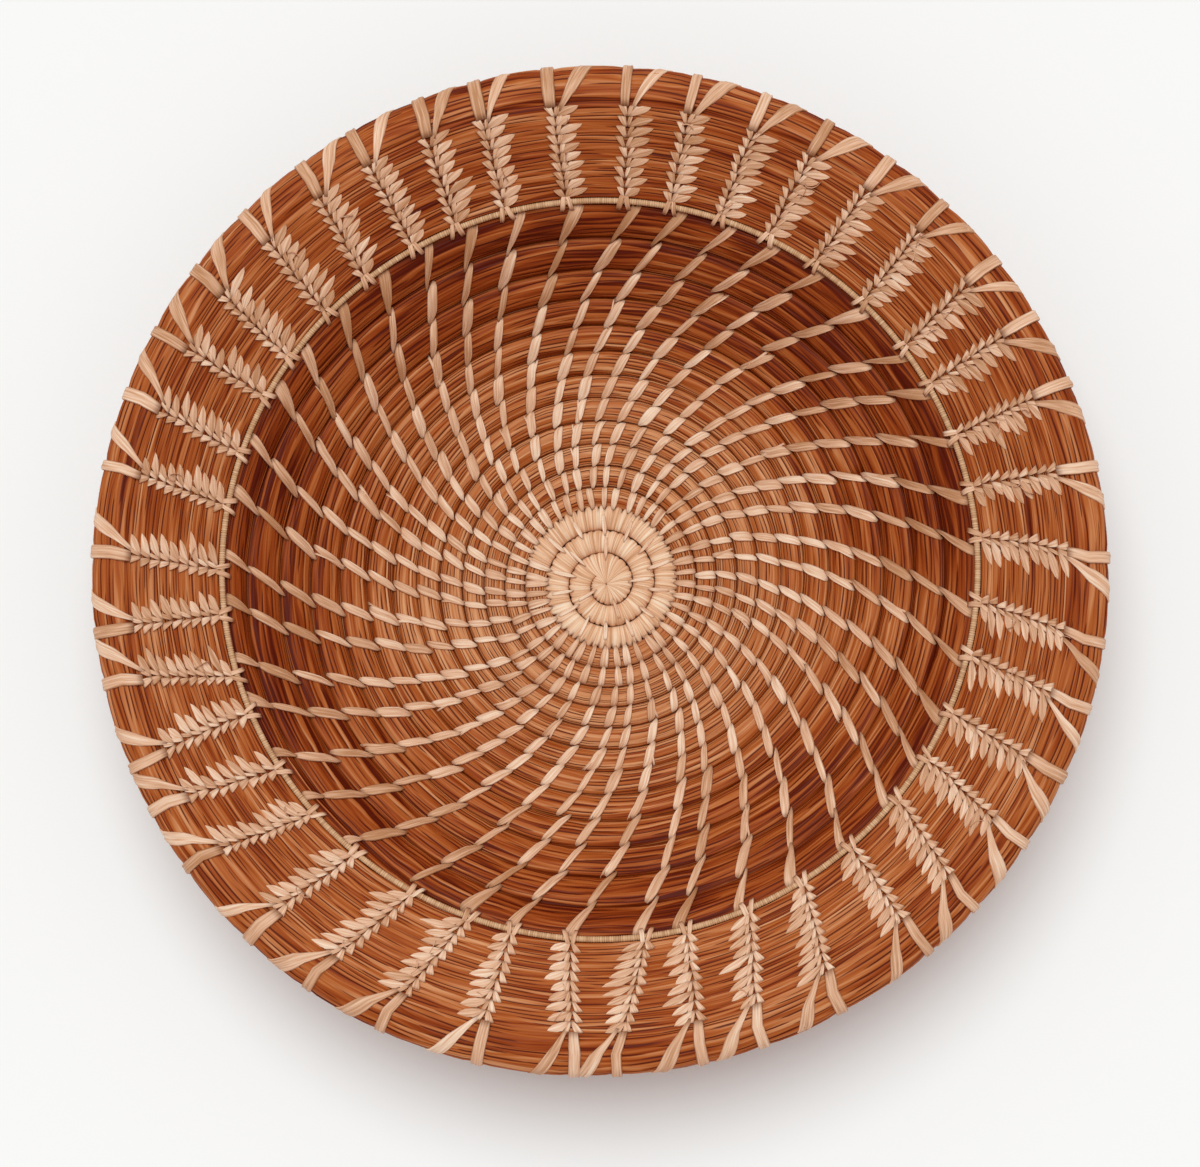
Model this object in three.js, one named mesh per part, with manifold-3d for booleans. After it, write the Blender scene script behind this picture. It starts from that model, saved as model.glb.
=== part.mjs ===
// A round coiled basket with a broad rim, in millimetres, +Z up, standing on z = 0 about the z axis.
// One bundle of pine needles winds counterclockwise outward from a raffia-wrapped centre. It lies flat as the
// floor and climbs as the wall. A thin wrapped cord lies in the corner above the wall, and a broad band of
// needles outside it is the rim. Lines of raffia stitches run from the centre to the rim, where each becomes a
// fern of leaves and two straps over the rolled edge.
import * as THREE from "three";
import { mergeVertices } from "three/addons/utils/BufferGeometryUtils.js";
import Module from "manifold-3d";

// Places along the bundle are counted in loops from where the full wrapping of the centre ends.
const BUNDLE_THICKNESS = 6.6;
const BUNDLE_FLAT_SHARE = 0.6; // share of its width that is pressed flat underneath
const SHOULDER_SHARE = 0.4; // height of its shoulders, as a share of its ridge's
const WRAP_END_RADIUS = 21; // outer edge of the bundle where the wrapping ends
const WRAPPED_PITCH = 5.85; // radial step of a wrapped loop
const BOWL_PITCH = 5.5; // radial step of the first bare loop
const PITCH_GROWTH = 0.11; // how fast the bare loops grow wider
const WRAPPED_LOOPS = 3.3;
const FLOOR_LOOPS = 5;
const LOWER_WALL_LOOPS = 3.6; // the rest of the bundle is the upper wall
const WANTED_BOWL_LOOPS = 12.2; // floor and wall, before the end moves to the nearest gap between stitches
const TIP_LOOPS = 0.3; // length over which the bundle's end thins out
const TIP_WIDTH_SHARE = 0.3;
const WRAP_END_ANGLE = THREE.MathUtils.degToRad(165);
const LOOP_GAP = 0.8; // between neighbouring loops, at mid thickness
const STEPS = 24; // straight stretches in a loop

// The bowl's side view.
const FLOOR_RADIUS = 50;
const WALL_HEIGHT = 31;
const WALL_CURVE = 1.7; // power by which the wall steepens towards the rim

// The rim, outside the wall.
const RIM_WIDTH = 34; // from the wall's mean edge to the outer edge
const RIM_THICKNESS = 9;
const RIM_RISE = 14; // top of the rim above the wall's mid surface at its edge
const ROLL_WIDTH = 9.5; // the rounded outer part
const ROLL_SEGMENTS = 4;
const RIM_INNER_ABOVE = 3.2; // how far the rim's inner face reaches above the wall's mid surface
const RIM_INNER_BELOW = 3.2;
const CORD_RADIUS = 1;
const CORD_SIDES = 5;
const STEP_IN_START = THREE.MathUtils.degToRad(0.4); // past the bundle's end, where rim and cord step in
const STEP_IN_END = THREE.MathUtils.degToRad(1.4);

// The raffia.
const COLUMNS = 42;
const COLUMN_SWING = THREE.MathUtils.degToRad(3.6); // the lines crowd together on one side by this much
const COLUMN_SWING_AT = THREE.MathUtils.degToRad(240); // clockwise from +Y, where the swing is greatest
const FIRST_COLUMN = 0.5; // of a column's spacing, clockwise from +Y
const SWIRL = THREE.MathUtils.degToRad(0.38); // turn of a line of stitches for each mm inward
const STITCH_THICKNESS = 0.5;
const STITCH_WIDTH = 3;
const STITCH_SHARE = 0.8; // most of the room between two lines that a stitch takes up
const STITCH_WAIST = 1.3; // its width where it dips between two loops
const FERN_THICKNESS = 0.7;
const FERN_LEAN = THREE.MathUtils.degToRad(9); // clockwise, away from straight outward
const LEAF_PAIRS = 7;
const FERN_SPINE = 2.2; // width of the braid between the leaves
const LONG_LEAF = 6.2; // reach of the leaves from the middle on the clockwise side
const SHORT_LEAF = 2.6;
const LEAF_SLANT = 1.15; // how far a leaf's tip lies outward of its root, in leaf spacings
const FERN_START = 1; // from the rim's inner edge
const FERN_OVERHANG = 0.8; // how far its head reaches past the start of the roll
const STRAP_WIDTH = 3.6;
const STRAP_START_WIDTH = 0.9;
const STRAP_SLANT = THREE.MathUtils.degToRad(4); // turn of the slanted strap on its way over the edge
const SEAT = 0.3; // clearance between a piece and what it rests on
const STITCH_LIFT = 0.1; // stitches lie this much above the ferns' undersides, so that they join inside them

const TURN = 2 * Math.PI;
const MID_HEIGHT = BUNDLE_THICKNESS / 2;
const TOUCHING = 1e-4; // closer than this, two points are one
const EDGE_SAMPLES = 72;

const wasm = await Module();
wasm.setup();

// A point at an angle from +X, a radius and a height.
function spot(angle, radius, height) {
  return new THREE.Vector3(radius * Math.cos(angle), radius * Math.sin(angle), height);
}

// A closed skin through a row of outlines with the same number of points. A row that doesn't close on itself
// gets flat ends. Each outline runs counterclockwise when seen against the direction of the row.
function skin(outlines, closed = false) {
  const sides = outlines[0].length;
  const rows = closed ? outlines.length : outlines.length - 1;
  const corners = [];
  const triangle = (a, b, c) => corners.push(a, b, c);
  for (let row = 0; row < rows; row += 1) {
    const here = outlines[row];
    const next = outlines[(row + 1) % outlines.length];
    for (let side = 0; side < sides; side += 1) {
      const other = (side + 1) % sides;
      triangle(here[side], here[other], next[other]);
      triangle(here[side], next[other], next[side]);
    }
  }
  if (!closed) {
    const last = outlines[outlines.length - 1];
    for (let side = 1; side < sides - 1; side += 1) {
      triangle(outlines[0][0], outlines[0][side + 1], outlines[0][side]);
      triangle(last[0], last[side], last[side + 1]);
    }
  }
  return new THREE.BufferGeometry().setFromPoints(corners);
}

function toSolid(geometry) {
  const bare = geometry.index ? geometry.toNonIndexed() : geometry.clone();
  bare.deleteAttribute("normal");
  bare.deleteAttribute("uv");
  const merged = mergeVertices(bare, TOUCHING);
  return new wasm.Manifold(
    new wasm.Mesh({
      numProp: 3,
      vertProperties: new Float32Array(merged.attributes.position.array),
      triVerts: new Uint32Array(merged.index.array),
    }),
  );
}

function toGeometry(solid) {
  const mesh = solid.getMesh();
  return new THREE.BufferGeometry()
    .setAttribute("position", new THREE.BufferAttribute(mesh.vertProperties, 3))
    .setIndex(new THREE.BufferAttribute(mesh.triVerts, 1));
}

// Angle of a line of stitches where it stands on the rim. The spacing is a little uneven, as handwork is.
function columnAngle(column) {
  const even = ((column + FIRST_COLUMN) * TURN) / COLUMNS;
  return TURN / 4 - even - COLUMN_SWING * Math.cos(even - COLUMN_SWING_AT);
}

function betweenColumns(column) {
  return (columnAngle(column) + columnAngle(column + 1)) / 2;
}

// Outer edge of the bundle at a loop, before its end thins out.
function edgeRadius(loop) {
  if (loop < 0) return WRAP_END_RADIUS + WRAPPED_PITCH * loop;
  return WRAP_END_RADIUS + BOWL_PITCH * loop + PITCH_GROWTH * loop * loop;
}

function angleOf(loop) {
  return WRAP_END_ANGLE + TURN * loop;
}

// The bundle ends between two lines of stitches, at the place nearest to the wanted number of loops.
function loopsToAGap() {
  const turnsAt = (column) => (betweenColumns(column) - angleOf(WANTED_BOWL_LOOPS)) / TURN;
  const wholeTurns = (column) => Math.round(turnsAt(column));
  const shifts = Array.from({ length: COLUMNS }, (_, column) => turnsAt(column) - wholeTurns(column));
  const nearest = shifts.reduce((best, shift) => (Math.abs(shift) < Math.abs(best) ? shift : best));
  return WANTED_BOWL_LOOPS + nearest;
}

const BOWL_LOOPS = loopsToAGap();

// The bundle starts thin at the centre, so its first loop turns about the centre itself.
function innerEdge(loop) {
  return Math.max(edgeRadius(loop - 1), 0);
}

function outerEdge(loop) {
  const inner = innerEdge(loop);
  const thinning = THREE.MathUtils.clamp((loop - BOWL_LOOPS + TIP_LOOPS) / TIP_LOOPS, 0, 1);
  return inner + (edgeRadius(loop) - inner) * THREE.MathUtils.lerp(1, TIP_WIDTH_SHARE, thinning);
}

function middleRadius(loop) {
  return (innerEdge(loop) + outerEdge(loop)) / 2;
}

// The last loop's place on the winding at an angle.
function lastLoopAt(angle) {
  const turns = (angleOf(BOWL_LOOPS) - angle) / TURN;
  return BOWL_LOOPS - (turns - Math.floor(turns));
}

// The winding leaves the bowl's edge slightly off centre, so the wall's full height follows that circle.
const edgeCircle = { radius: 0, x: 0, y: 0 };
for (let sample = 0; sample < EDGE_SAMPLES; sample += 1) {
  const angle = (sample * TURN) / EDGE_SAMPLES;
  const radius = outerEdge(lastLoopAt(angle));
  edgeCircle.radius += radius / EDGE_SAMPLES;
  edgeCircle.x += (2 * radius * Math.cos(angle)) / EDGE_SAMPLES;
  edgeCircle.y += (2 * radius * Math.sin(angle)) / EDGE_SAMPLES;
}

// Height of the bundle's mid surface.
function midHeight(radius, angle) {
  const full = edgeCircle.radius + edgeCircle.x * Math.cos(angle) + edgeCircle.y * Math.sin(angle);
  const share = Math.max(0, (radius - FLOOR_RADIUS) / (full - FLOOR_RADIUS));
  return MID_HEIGHT + WALL_HEIGHT * share ** WALL_CURVE;
}

// The meridian frame of the bundle at a loop: its middle, and unit vectors along and across the wall.
function bundleFrame(loop) {
  const angle = angleOf(loop);
  const inner = new THREE.Vector2(innerEdge(loop), 0);
  const outer = new THREE.Vector2(outerEdge(loop), 0);
  inner.y = midHeight(inner.x, angle);
  outer.y = midHeight(outer.x, angle);
  const along = outer.clone().sub(inner).normalize();
  return {
    angle,
    outer,
    along,
    across: new THREE.Vector2(-along.y, along.x),
    middle: inner.clone().add(outer).multiplyScalar(0.5),
    width: inner.distanceTo(outer) - LOOP_GAP,
  };
}

function place(frame, origin, along, across) {
  const point = origin.clone().addScaledVector(frame.along, along).addScaledVector(frame.across, across);
  return spot(frame.angle, point.x, point.y);
}

// Corners of the bundle's section: the ridge first, then down the outer side, with a flat foot.
const CORNER = { ridge: 0, outerShoulder: 1, innerShoulder: 4 };
function bundleSection(loop) {
  const frame = bundleFrame(loop);
  const half = frame.width / 2;
  const foot = half * BUNDLE_FLAT_SHARE;
  const top = BUNDLE_THICKNESS / 2;
  return [
    [0, top],
    [half, top * SHOULDER_SHARE],
    [foot, -top],
    [-foot, -top],
    [-half, top * SHOULDER_SHARE],
  ].map(([along, across]) => place(frame, frame.middle, along, across));
}

// A stretch of the winding, with its ends drawn back by half the clearance to the next stretch.
function bundle(from, to) {
  const drawBack = (loop) => SEAT / 2 / (TURN * middleRadius(loop));
  const first = from + drawBack(from);
  const last = to - drawBack(to);
  const loops = [first];
  for (let step = Math.floor(first * STEPS) + 1; step / STEPS < last; step += 1) loops.push(step / STEPS);
  loops.push(last);
  return loops.filter((loop, at) => at === 0 || loop - loops[at - 1] > TOUCHING).map(bundleSection);
}

// The least distance between the corners of neighbouring loops.
function leastGap(from, to) {
  let least = Infinity;
  for (let step = Math.ceil(from * STEPS); (step + STEPS) / STEPS <= to; step += 1) {
    const here = bundleSection(step / STEPS);
    const next = bundleSection(step / STEPS + 1);
    here.forEach((a) => next.forEach((b) => (least = Math.min(least, a.distanceTo(b)))));
  }
  return least;
}

// A corner of the faceted bundle at any loop: between two sections it lies on a straight line.
function cornerOn(loop, corner) {
  const before = Math.min(Math.floor(loop * STEPS), Math.ceil(BOWL_LOOPS * STEPS) - 1) / STEPS;
  const after = Math.min(before + 1 / STEPS, BOWL_LOOPS);
  return bundleSection(before)[corner].lerp(bundleSection(after)[corner], (loop - before) / (after - before));
}

// A corner of the rim's rolled edge, from the top over the outside to the bottom.
const rimOuterRadius = edgeCircle.radius + RIM_WIDTH;
function rollCorner(step) {
  const turn = Math.PI / 2 - (Math.PI * step) / ROLL_SEGMENTS;
  const halfThickness = RIM_THICKNESS / 2;
  return {
    radius: rimOuterRadius - ROLL_WIDTH * (1 - Math.cos(turn)),
    height: MID_HEIGHT + WALL_HEIGHT + RIM_RISE - halfThickness * (1 - Math.sin(turn)),
    outward: new THREE.Vector2(Math.cos(turn) / ROLL_WIDTH, Math.sin(turn) / halfThickness).normalize(),
  };
}

// The rim's section at a station, from its inner top corner over the rolled edge to its inner bottom corner.
function rimSection(station) {
  const frame = { ...bundleFrame(station.loop), angle: station.angle };
  const roll = Array.from({ length: ROLL_SEGMENTS + 1 }, (_, step) => rollCorner(step));
  return [
    place(frame, frame.outer, SEAT, RIM_INNER_ABOVE),
    ...roll.map(({ radius, height }) => spot(frame.angle, radius, height)),
    place(frame, frame.outer, SEAT, -RIM_INNER_BELOW),
  ];
}

// The rim's and the cord's sections stand at stations between the columns. At the bundle's end there are two,
// between which both step in to the loop below.
const stations = [];
for (let column = COLUMNS - 1; column >= 0; column -= 1) {
  const angle = betweenColumns(column);
  const pastEnd = (angle - angleOf(BOWL_LOOPS)) / TURN;
  if (Math.abs(pastEnd - Math.round(pastEnd)) < TOUCHING) {
    stations.push({ angle: angle + STEP_IN_START, loop: BOWL_LOOPS });
    stations.push({ angle: angle + STEP_IN_END, loop: BOWL_LOOPS - 1 + STEP_IN_END / TURN, column });
  } else {
    stations.push({ angle, loop: lastLoopAt(angle), column });
  }
}

// The cord rests on the last loop's outer slope, or on the ridge where the loop thins out. Its section starts
// at the top.
function cordSection(station) {
  const frame = { ...bundleFrame(station.loop), angle: station.angle };
  const shoulder = cornerOn(station.loop, CORNER.outerShoulder);
  const origin = new THREE.Vector2(Math.hypot(shoulder.x, shoulder.y), shoulder.z);
  const ridgeRise = (BUNDLE_THICKNESS / 2) * (1 - SHOULDER_SHARE);
  const slope = Math.atan2(ridgeRise, frame.width / 2);
  const clear = CORD_RADIUS + SEAT;
  const inward = clear - LOOP_GAP / 2;
  const above = Math.min(Math.tan(slope) * inward + clear / Math.cos(slope), ridgeRise + clear);
  const section = [];
  for (let side = 0; side < CORD_SIDES; side += 1) {
    const turn = (side * TURN) / CORD_SIDES;
    const along = CORD_RADIUS * Math.sin(turn) - inward;
    section.push(place(frame, origin, along, above + CORD_RADIUS * Math.cos(turn)));
  }
  return section;
}

// The two stations beside a column, the clockwise one first, as stations run counterclockwise.
function stationsBeside(column) {
  const first = stations.findIndex((station) => station.column === column);
  return [stations[first], stations[(first + 1) % stations.length]];
}

// The flat facet of the rim's top under a column: its own frame has x clockwise, y outward and z up off it.
function rimFacet(column) {
  const [before, after] = stationsBeside(column).map(rimSection);
  const inner = before[0].clone().add(after[0]).multiplyScalar(0.5);
  const outer = before[1].clone().add(after[1]).multiplyScalar(0.5);
  const clockwise = before[1].clone().sub(after[1]).normalize();
  const up = clockwise.clone().cross(outer.clone().sub(inner)).normalize();
  const outward = up.clone().cross(clockwise);
  const toWorld = new THREE.Matrix4().makeBasis(clockwise, outward, up).setPosition(inner);
  const length = outer.clone().sub(inner).dot(outward);
  const spineAt = (y, aside = 0) => new THREE.Vector3((y - length / 2) * Math.tan(FERN_LEAN) + aside, y, 0);
  return { toWorld, length, up, spineAt, onSpine: (y, aside) => spineAt(y, aside).applyMatrix4(toWorld) };
}

// The fern's outline in its facet: leaves in pairs along a leaning spine, the long ones on the clockwise side.
function fernShape({ length, spineAt }) {
  const spacing = (length - FERN_START) / (LEAF_PAIRS + LEAF_SLANT);
  const roots = Array.from({ length: LEAF_PAIRS }, (_, pair) => FERN_START + pair * spacing);
  const leaf = (root, side, reach) => [
    spineAt(root, (side * FERN_SPINE) / 2),
    spineAt(root).add(new THREE.Vector3(side * reach, LEAF_SLANT * spacing, 0)),
  ];
  return new THREE.Shape([
    ...roots.flatMap((root) => leaf(root, 1, LONG_LEAF)),
    spineAt(length + FERN_OVERHANG, FERN_SPINE / 2),
    spineAt(length + FERN_OVERHANG, -FERN_SPINE / 2),
    ...roots.reverse().flatMap((root) => leaf(root, -1, SHORT_LEAF).reverse()),
  ]);
}

function fern(facet) {
  const plate = new THREE.ExtrudeGeometry(fernShape(facet), { depth: FERN_THICKNESS, bevelEnabled: false });
  return plate.translate(0, 0, SEAT).applyMatrix4(facet.toWorld);
}

// A strip of raffia through a row of places. Each has a middle on the surface below, a way up off it and a
// width. The strip's flat side rides a clearance above the surface, square to straight outward.
function strip(places) {
  return skin(
    places.map(({ middle, up, width }) => {
      const clockwise = new THREE.Vector3(middle.y, -middle.x, 0).normalize();
      const low = middle.clone().addScaledVector(up, SEAT + STITCH_LIFT);
      return [
        low.clone().addScaledVector(clockwise, -width / 2),
        low.clone().addScaledVector(up, STITCH_THICKNESS),
        low.clone().addScaledVector(clockwise, width / 2),
      ];
    }),
  );
}

function wayAcross(frame) {
  return spot(frame.angle, frame.across.x, frame.across.y);
}

// The line of stitches over the bowl, from the wrapped centre out over the cord to the fern's foot.
function stitchLine(column, facet) {
  const foot = facet.onSpine(FERN_START);
  const last = lastLoopAt(Math.atan2(foot.y, foot.x));
  const swirled = (loop) => loop + (SWIRL * (outerEdge(last) - middleRadius(loop))) / TURN;
  const places = [];
  for (let back = Math.floor(last); back >= 0; back -= 1) {
    const loop = swirled(last - back);
    const dip = loop - (SWIRL * (middleRadius(loop) - innerEdge(loop))) / TURN;
    const room = (STITCH_SHARE * TURN * middleRadius(loop)) / COLUMNS;
    if (outerEdge(loop) - middleRadius(loop) < 2 * (CORD_RADIUS + SEAT)) continue;
    if (loop - 1 > 0) {
      places.push({
        middle: cornerOn(dip, CORNER.innerShoulder).lerp(cornerOn(dip - 1, CORNER.outerShoulder), 0.5),
        up: wayAcross(bundleFrame(dip)),
        width: STITCH_WAIST,
      });
    }
    places.push({
      middle: cornerOn(loop, CORNER.ridge),
      up: wayAcross(bundleFrame(loop)),
      width: Math.min(STITCH_WIDTH, room),
    });
  }
  const beside = stationsBeside(column).map((station) => cordSection(station)[0]);
  const overCord = beside[0].clone().lerp(beside[1], shareBetween(beside, foot));
  places.push({ middle: overCord, up: wayAcross(bundleFrame(last)), width: STITCH_WAIST });
  places.push({ middle: facet.onSpine(2 * FERN_START), up: facet.up, width: STITCH_WAIST });
  return strip(places);
}

// How far round a point lies on the way from one point to another.
function shareBetween([from, to], point) {
  const turnTo = ({ x, y }) => {
    const turns = (Math.atan2(y, x) - Math.atan2(from.y, from.x)) / TURN;
    return turns - Math.round(turns);
  };
  return turnTo(point) / turnTo(to);
}

// A strap from the fern's head over the rolled edge to the rim's underside. It starts aside of the fern's spine
// and turns clockwise by slant on its way.
function strap(column, facet, aside, slant) {
  const [before, after] = stationsBeside(column).map(rimSection);
  const head = facet.onSpine(facet.length, aside);
  const start = shareBetween([before[1], after[1]], head);
  const facetTurn = before[1].distanceTo(after[1]) / rollCorner(0).radius;
  const places = [{ middle: head, up: facet.up, width: STRAP_START_WIDTH }];
  for (let step = 1; step < ROLL_SEGMENTS; step += 1) {
    const share = start - (step / (ROLL_SEGMENTS - 1)) * (slant / facetTurn);
    const middle = before[step + 1].clone().lerp(after[step + 1], share);
    const { outward } = rollCorner(step);
    const up = spot(Math.atan2(middle.y, middle.x), outward.x, outward.y);
    places.push({ middle, up, width: STRAP_WIDTH });
  }
  return strip(places);
}

const needles = new THREE.MeshStandardMaterial({ color: 0x9a5526, roughness: 0.6, metalness: 0 });
const wrapping = new THREE.MeshStandardMaterial({ color: 0xdcb48a, roughness: 0.7, metalness: 0 });
const raffia = new THREE.MeshStandardMaterial({ color: 0xe0b98f, roughness: 0.65, metalness: 0 });

const basket = new THREE.Group();
function add(name, geometry, material) {
  const mesh = new THREE.Mesh(geometry, material);
  mesh.name = name;
  basket.add(mesh);
}

add("wrapped_centre_coil", skin(bundle(-WRAPPED_LOOPS, 0)), wrapping);
add("floor_coil", skin(bundle(0, FLOOR_LOOPS)), needles);
add("lower_wall_coil", skin(bundle(FLOOR_LOOPS, FLOOR_LOOPS + LOWER_WALL_LOOPS)), needles);
add("upper_wall_coil", skin(bundle(FLOOR_LOOPS + LOWER_WALL_LOOPS, BOWL_LOOPS)), needles);
add("wrapped_cord", skin(stations.map(cordSection), true), wrapping);
add("rim_band", skin(stations.map(rimSection), true), needles);
for (let column = 0; column < COLUMNS; column += 1) {
  const facet = rimFacet(column);
  const pieces = [
    stitchLine(column, facet),
    fern(facet),
    strap(column, facet, -FERN_SPINE / 4, 0),
    strap(column, facet, FERN_SPINE / 4, STRAP_SLANT),
  ];
  const joined = pieces.map(toSolid).reduce((whole, piece) => whole.add(piece));
  add(`stitch_line_${String(column + 1).padStart(2, "0")}`, toGeometry(joined), raffia);
}

console.log(`outer radius ${rimOuterRadius.toFixed(1)} mm, ${BOWL_LOOPS.toFixed(2)} bare loops`);
console.log(`least gap of the floor coil to itself ${leastGap(0, FLOOR_LOOPS).toFixed(2)} mm`);
console.log(`least gap of the wall coils to themselves ${leastGap(FLOOR_LOOPS, BOWL_LOOPS).toFixed(2)} mm`);
console.log(`least gap of the wrapped coil to itself ${leastGap(-WRAPPED_LOOPS, 0).toFixed(2)} mm`);

export default basket;
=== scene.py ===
"""A coiled pine-needle basket with a broad rim, sewn with raffia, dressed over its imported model.

Sizes are in millimetres until a mesh is finished, and angles in radians, counterclockwise from +X.
"""

import logging
import math
from collections.abc import Iterator, Sequence
from dataclasses import dataclass, replace
from enum import Enum
from functools import cached_property

import bmesh
import bpy
import numpy as np
from mathutils import Matrix, Vector


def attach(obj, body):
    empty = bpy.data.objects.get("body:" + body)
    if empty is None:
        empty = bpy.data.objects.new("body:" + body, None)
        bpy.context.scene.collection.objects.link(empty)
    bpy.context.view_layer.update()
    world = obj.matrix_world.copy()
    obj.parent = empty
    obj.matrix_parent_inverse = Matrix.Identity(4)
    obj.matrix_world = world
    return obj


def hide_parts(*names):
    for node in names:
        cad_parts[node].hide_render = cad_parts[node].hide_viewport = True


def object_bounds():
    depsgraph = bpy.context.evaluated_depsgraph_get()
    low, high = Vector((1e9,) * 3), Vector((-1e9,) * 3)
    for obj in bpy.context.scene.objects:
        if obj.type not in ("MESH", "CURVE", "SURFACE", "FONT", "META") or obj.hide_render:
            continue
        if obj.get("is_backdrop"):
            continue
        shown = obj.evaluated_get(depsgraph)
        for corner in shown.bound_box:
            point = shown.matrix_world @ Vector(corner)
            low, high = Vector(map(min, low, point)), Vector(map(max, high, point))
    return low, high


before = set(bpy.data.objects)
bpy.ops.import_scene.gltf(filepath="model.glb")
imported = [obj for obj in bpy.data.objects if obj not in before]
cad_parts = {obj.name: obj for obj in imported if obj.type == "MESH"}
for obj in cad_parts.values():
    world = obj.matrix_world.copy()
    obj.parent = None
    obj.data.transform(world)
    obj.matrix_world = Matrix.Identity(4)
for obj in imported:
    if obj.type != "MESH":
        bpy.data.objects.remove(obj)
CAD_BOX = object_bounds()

Array = np.ndarray
Random = np.random.Generator
Tree = bpy.types.NodeTree
Socket = bpy.types.NodeSocket
Stops = tuple[tuple[float, str], ...]  # places on a ramp of browns, and their sRGB hex colours
log = logging.getLogger("basket")

MM = 0.001
TURN = 2 * math.pi
BODY = "root"
SAME_POINT = 1e-3  # closer than this, two points of a mesh are one
FAR_OFF = 1e3  # a distance beyond everything in the basket


class Slot(Enum):
    """Names of material slots."""

    NEEDLES = "needles"
    WRAPPING = "wrapping"
    RAFFIA = "raffia"


class Face(Enum):
    """The two faces of the sewn wall."""

    INSIDE = 1
    OUTSIDE = -1


# Numbers


def blend(low: Array | float, high: Array | float, share: Array | float) -> Array:
    """Goes from low to high in a straight line as share goes from 0 to 1."""
    return low + (high - low) * share


def ease(share: Array) -> Array:
    """Goes from 0 to 1 with soft ends, and stays there outside that range."""
    held = np.clip(share, 0.0, 1.0)
    return held * held * (3 - 2 * held)


def soft_share(radius: float, start: float, reach: float, least: float = 0.0) -> float:
    """Goes softly from a least value to 1 while a radius goes from a start through a reach."""
    return float(blend(least, 1.0, ease((radius - start) / reach)))


def bell(distance: Array, width: float) -> Array:
    """A bell curve of height 1."""
    return np.exp(-((distance / width) ** 2))


def power(value: Array, exponent: Array | float) -> Array:
    """A power that keeps the sign."""
    return np.sign(value) * np.abs(value) ** exponent


def slow_waves(rng: Random, places: Array, lanes: int, spans: Sequence[float], around: float = 0.0) -> Array:
    """Seeded waves along lanes, each lane with its own.

    Args:
        rng: The source of the random values.
        places: Where along the lanes the waves are wanted, in millimetres.
        lanes: How many lanes there are.
        spans: The rough wave lengths that are added up, in millimetres.
        around: The length after which the lanes close on themselves, or 0 where they are open.

    Returns:
        An array of places by lanes, from -1 to 1.
    """
    total = np.zeros((len(places), lanes))
    for span in spans:
        lengths = span * rng.uniform(0.7, 1.4, lanes)
        if around:
            lengths = around / np.maximum(1, np.round(around / lengths))
        total += np.sin(TURN * places[:, None] / lengths + rng.uniform(0, TURN, lanes))
    return total / len(spans)


def running_sum(steps: Sequence[int] | Array) -> Array:
    """Sums of the first steps, from none of them to all."""
    return np.concatenate([[0], np.cumsum(steps)])


def distances(points: Array) -> Array:
    """How far along a line each of its points lies."""
    return running_sum(np.linalg.norm(np.diff(points, axis=0), axis=1))


def round_axis(radius: Array, angle: Array, level: Array) -> Array:
    """Points at a radius, an angle and a height, with coordinates on one more axis."""
    return np.stack([radius * np.cos(angle), radius * np.sin(angle), level], axis=-1)


# The plan of the basket


@dataclass(frozen=True)
class Sections:
    """Cross sections of the bundle: where they stand, which way they face and how wide they are."""

    angle: Array
    middle: Array
    along: Array
    across: Array
    half: Array
    height: Array
    # The coil wasn't begun quite in the middle of the basket, and this fades out at a radius.
    slip: tuple[float, float] = (0.9, -2.4)
    slip_reach: float = 75.0

    def points_at(self, along: Array, across: Array, angle: Array | None = None) -> Array:
        """Points at distances along and across the wall from the sections' middles.

        Args:
            along: Distance outward along the wall, with the sections on its last axis.
            across: Distance off the wall's mid surface, into the bowl.
            angle: The points' angles, where they aren't the sections' own.

        Returns:
            The points, with coordinates on one more axis.
        """
        radius = self.middle[..., 0] + along * self.along[..., 0] + across * self.across[..., 0]
        level = self.middle[..., 1] + along * self.along[..., 1] + across * self.across[..., 1]
        points = round_axis(radius, self.angle if angle is None else angle, level)
        slipped = 1 - ease(radius / self.slip_reach)
        points[..., :2] += slipped[..., None] * self.slip
        return points


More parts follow.
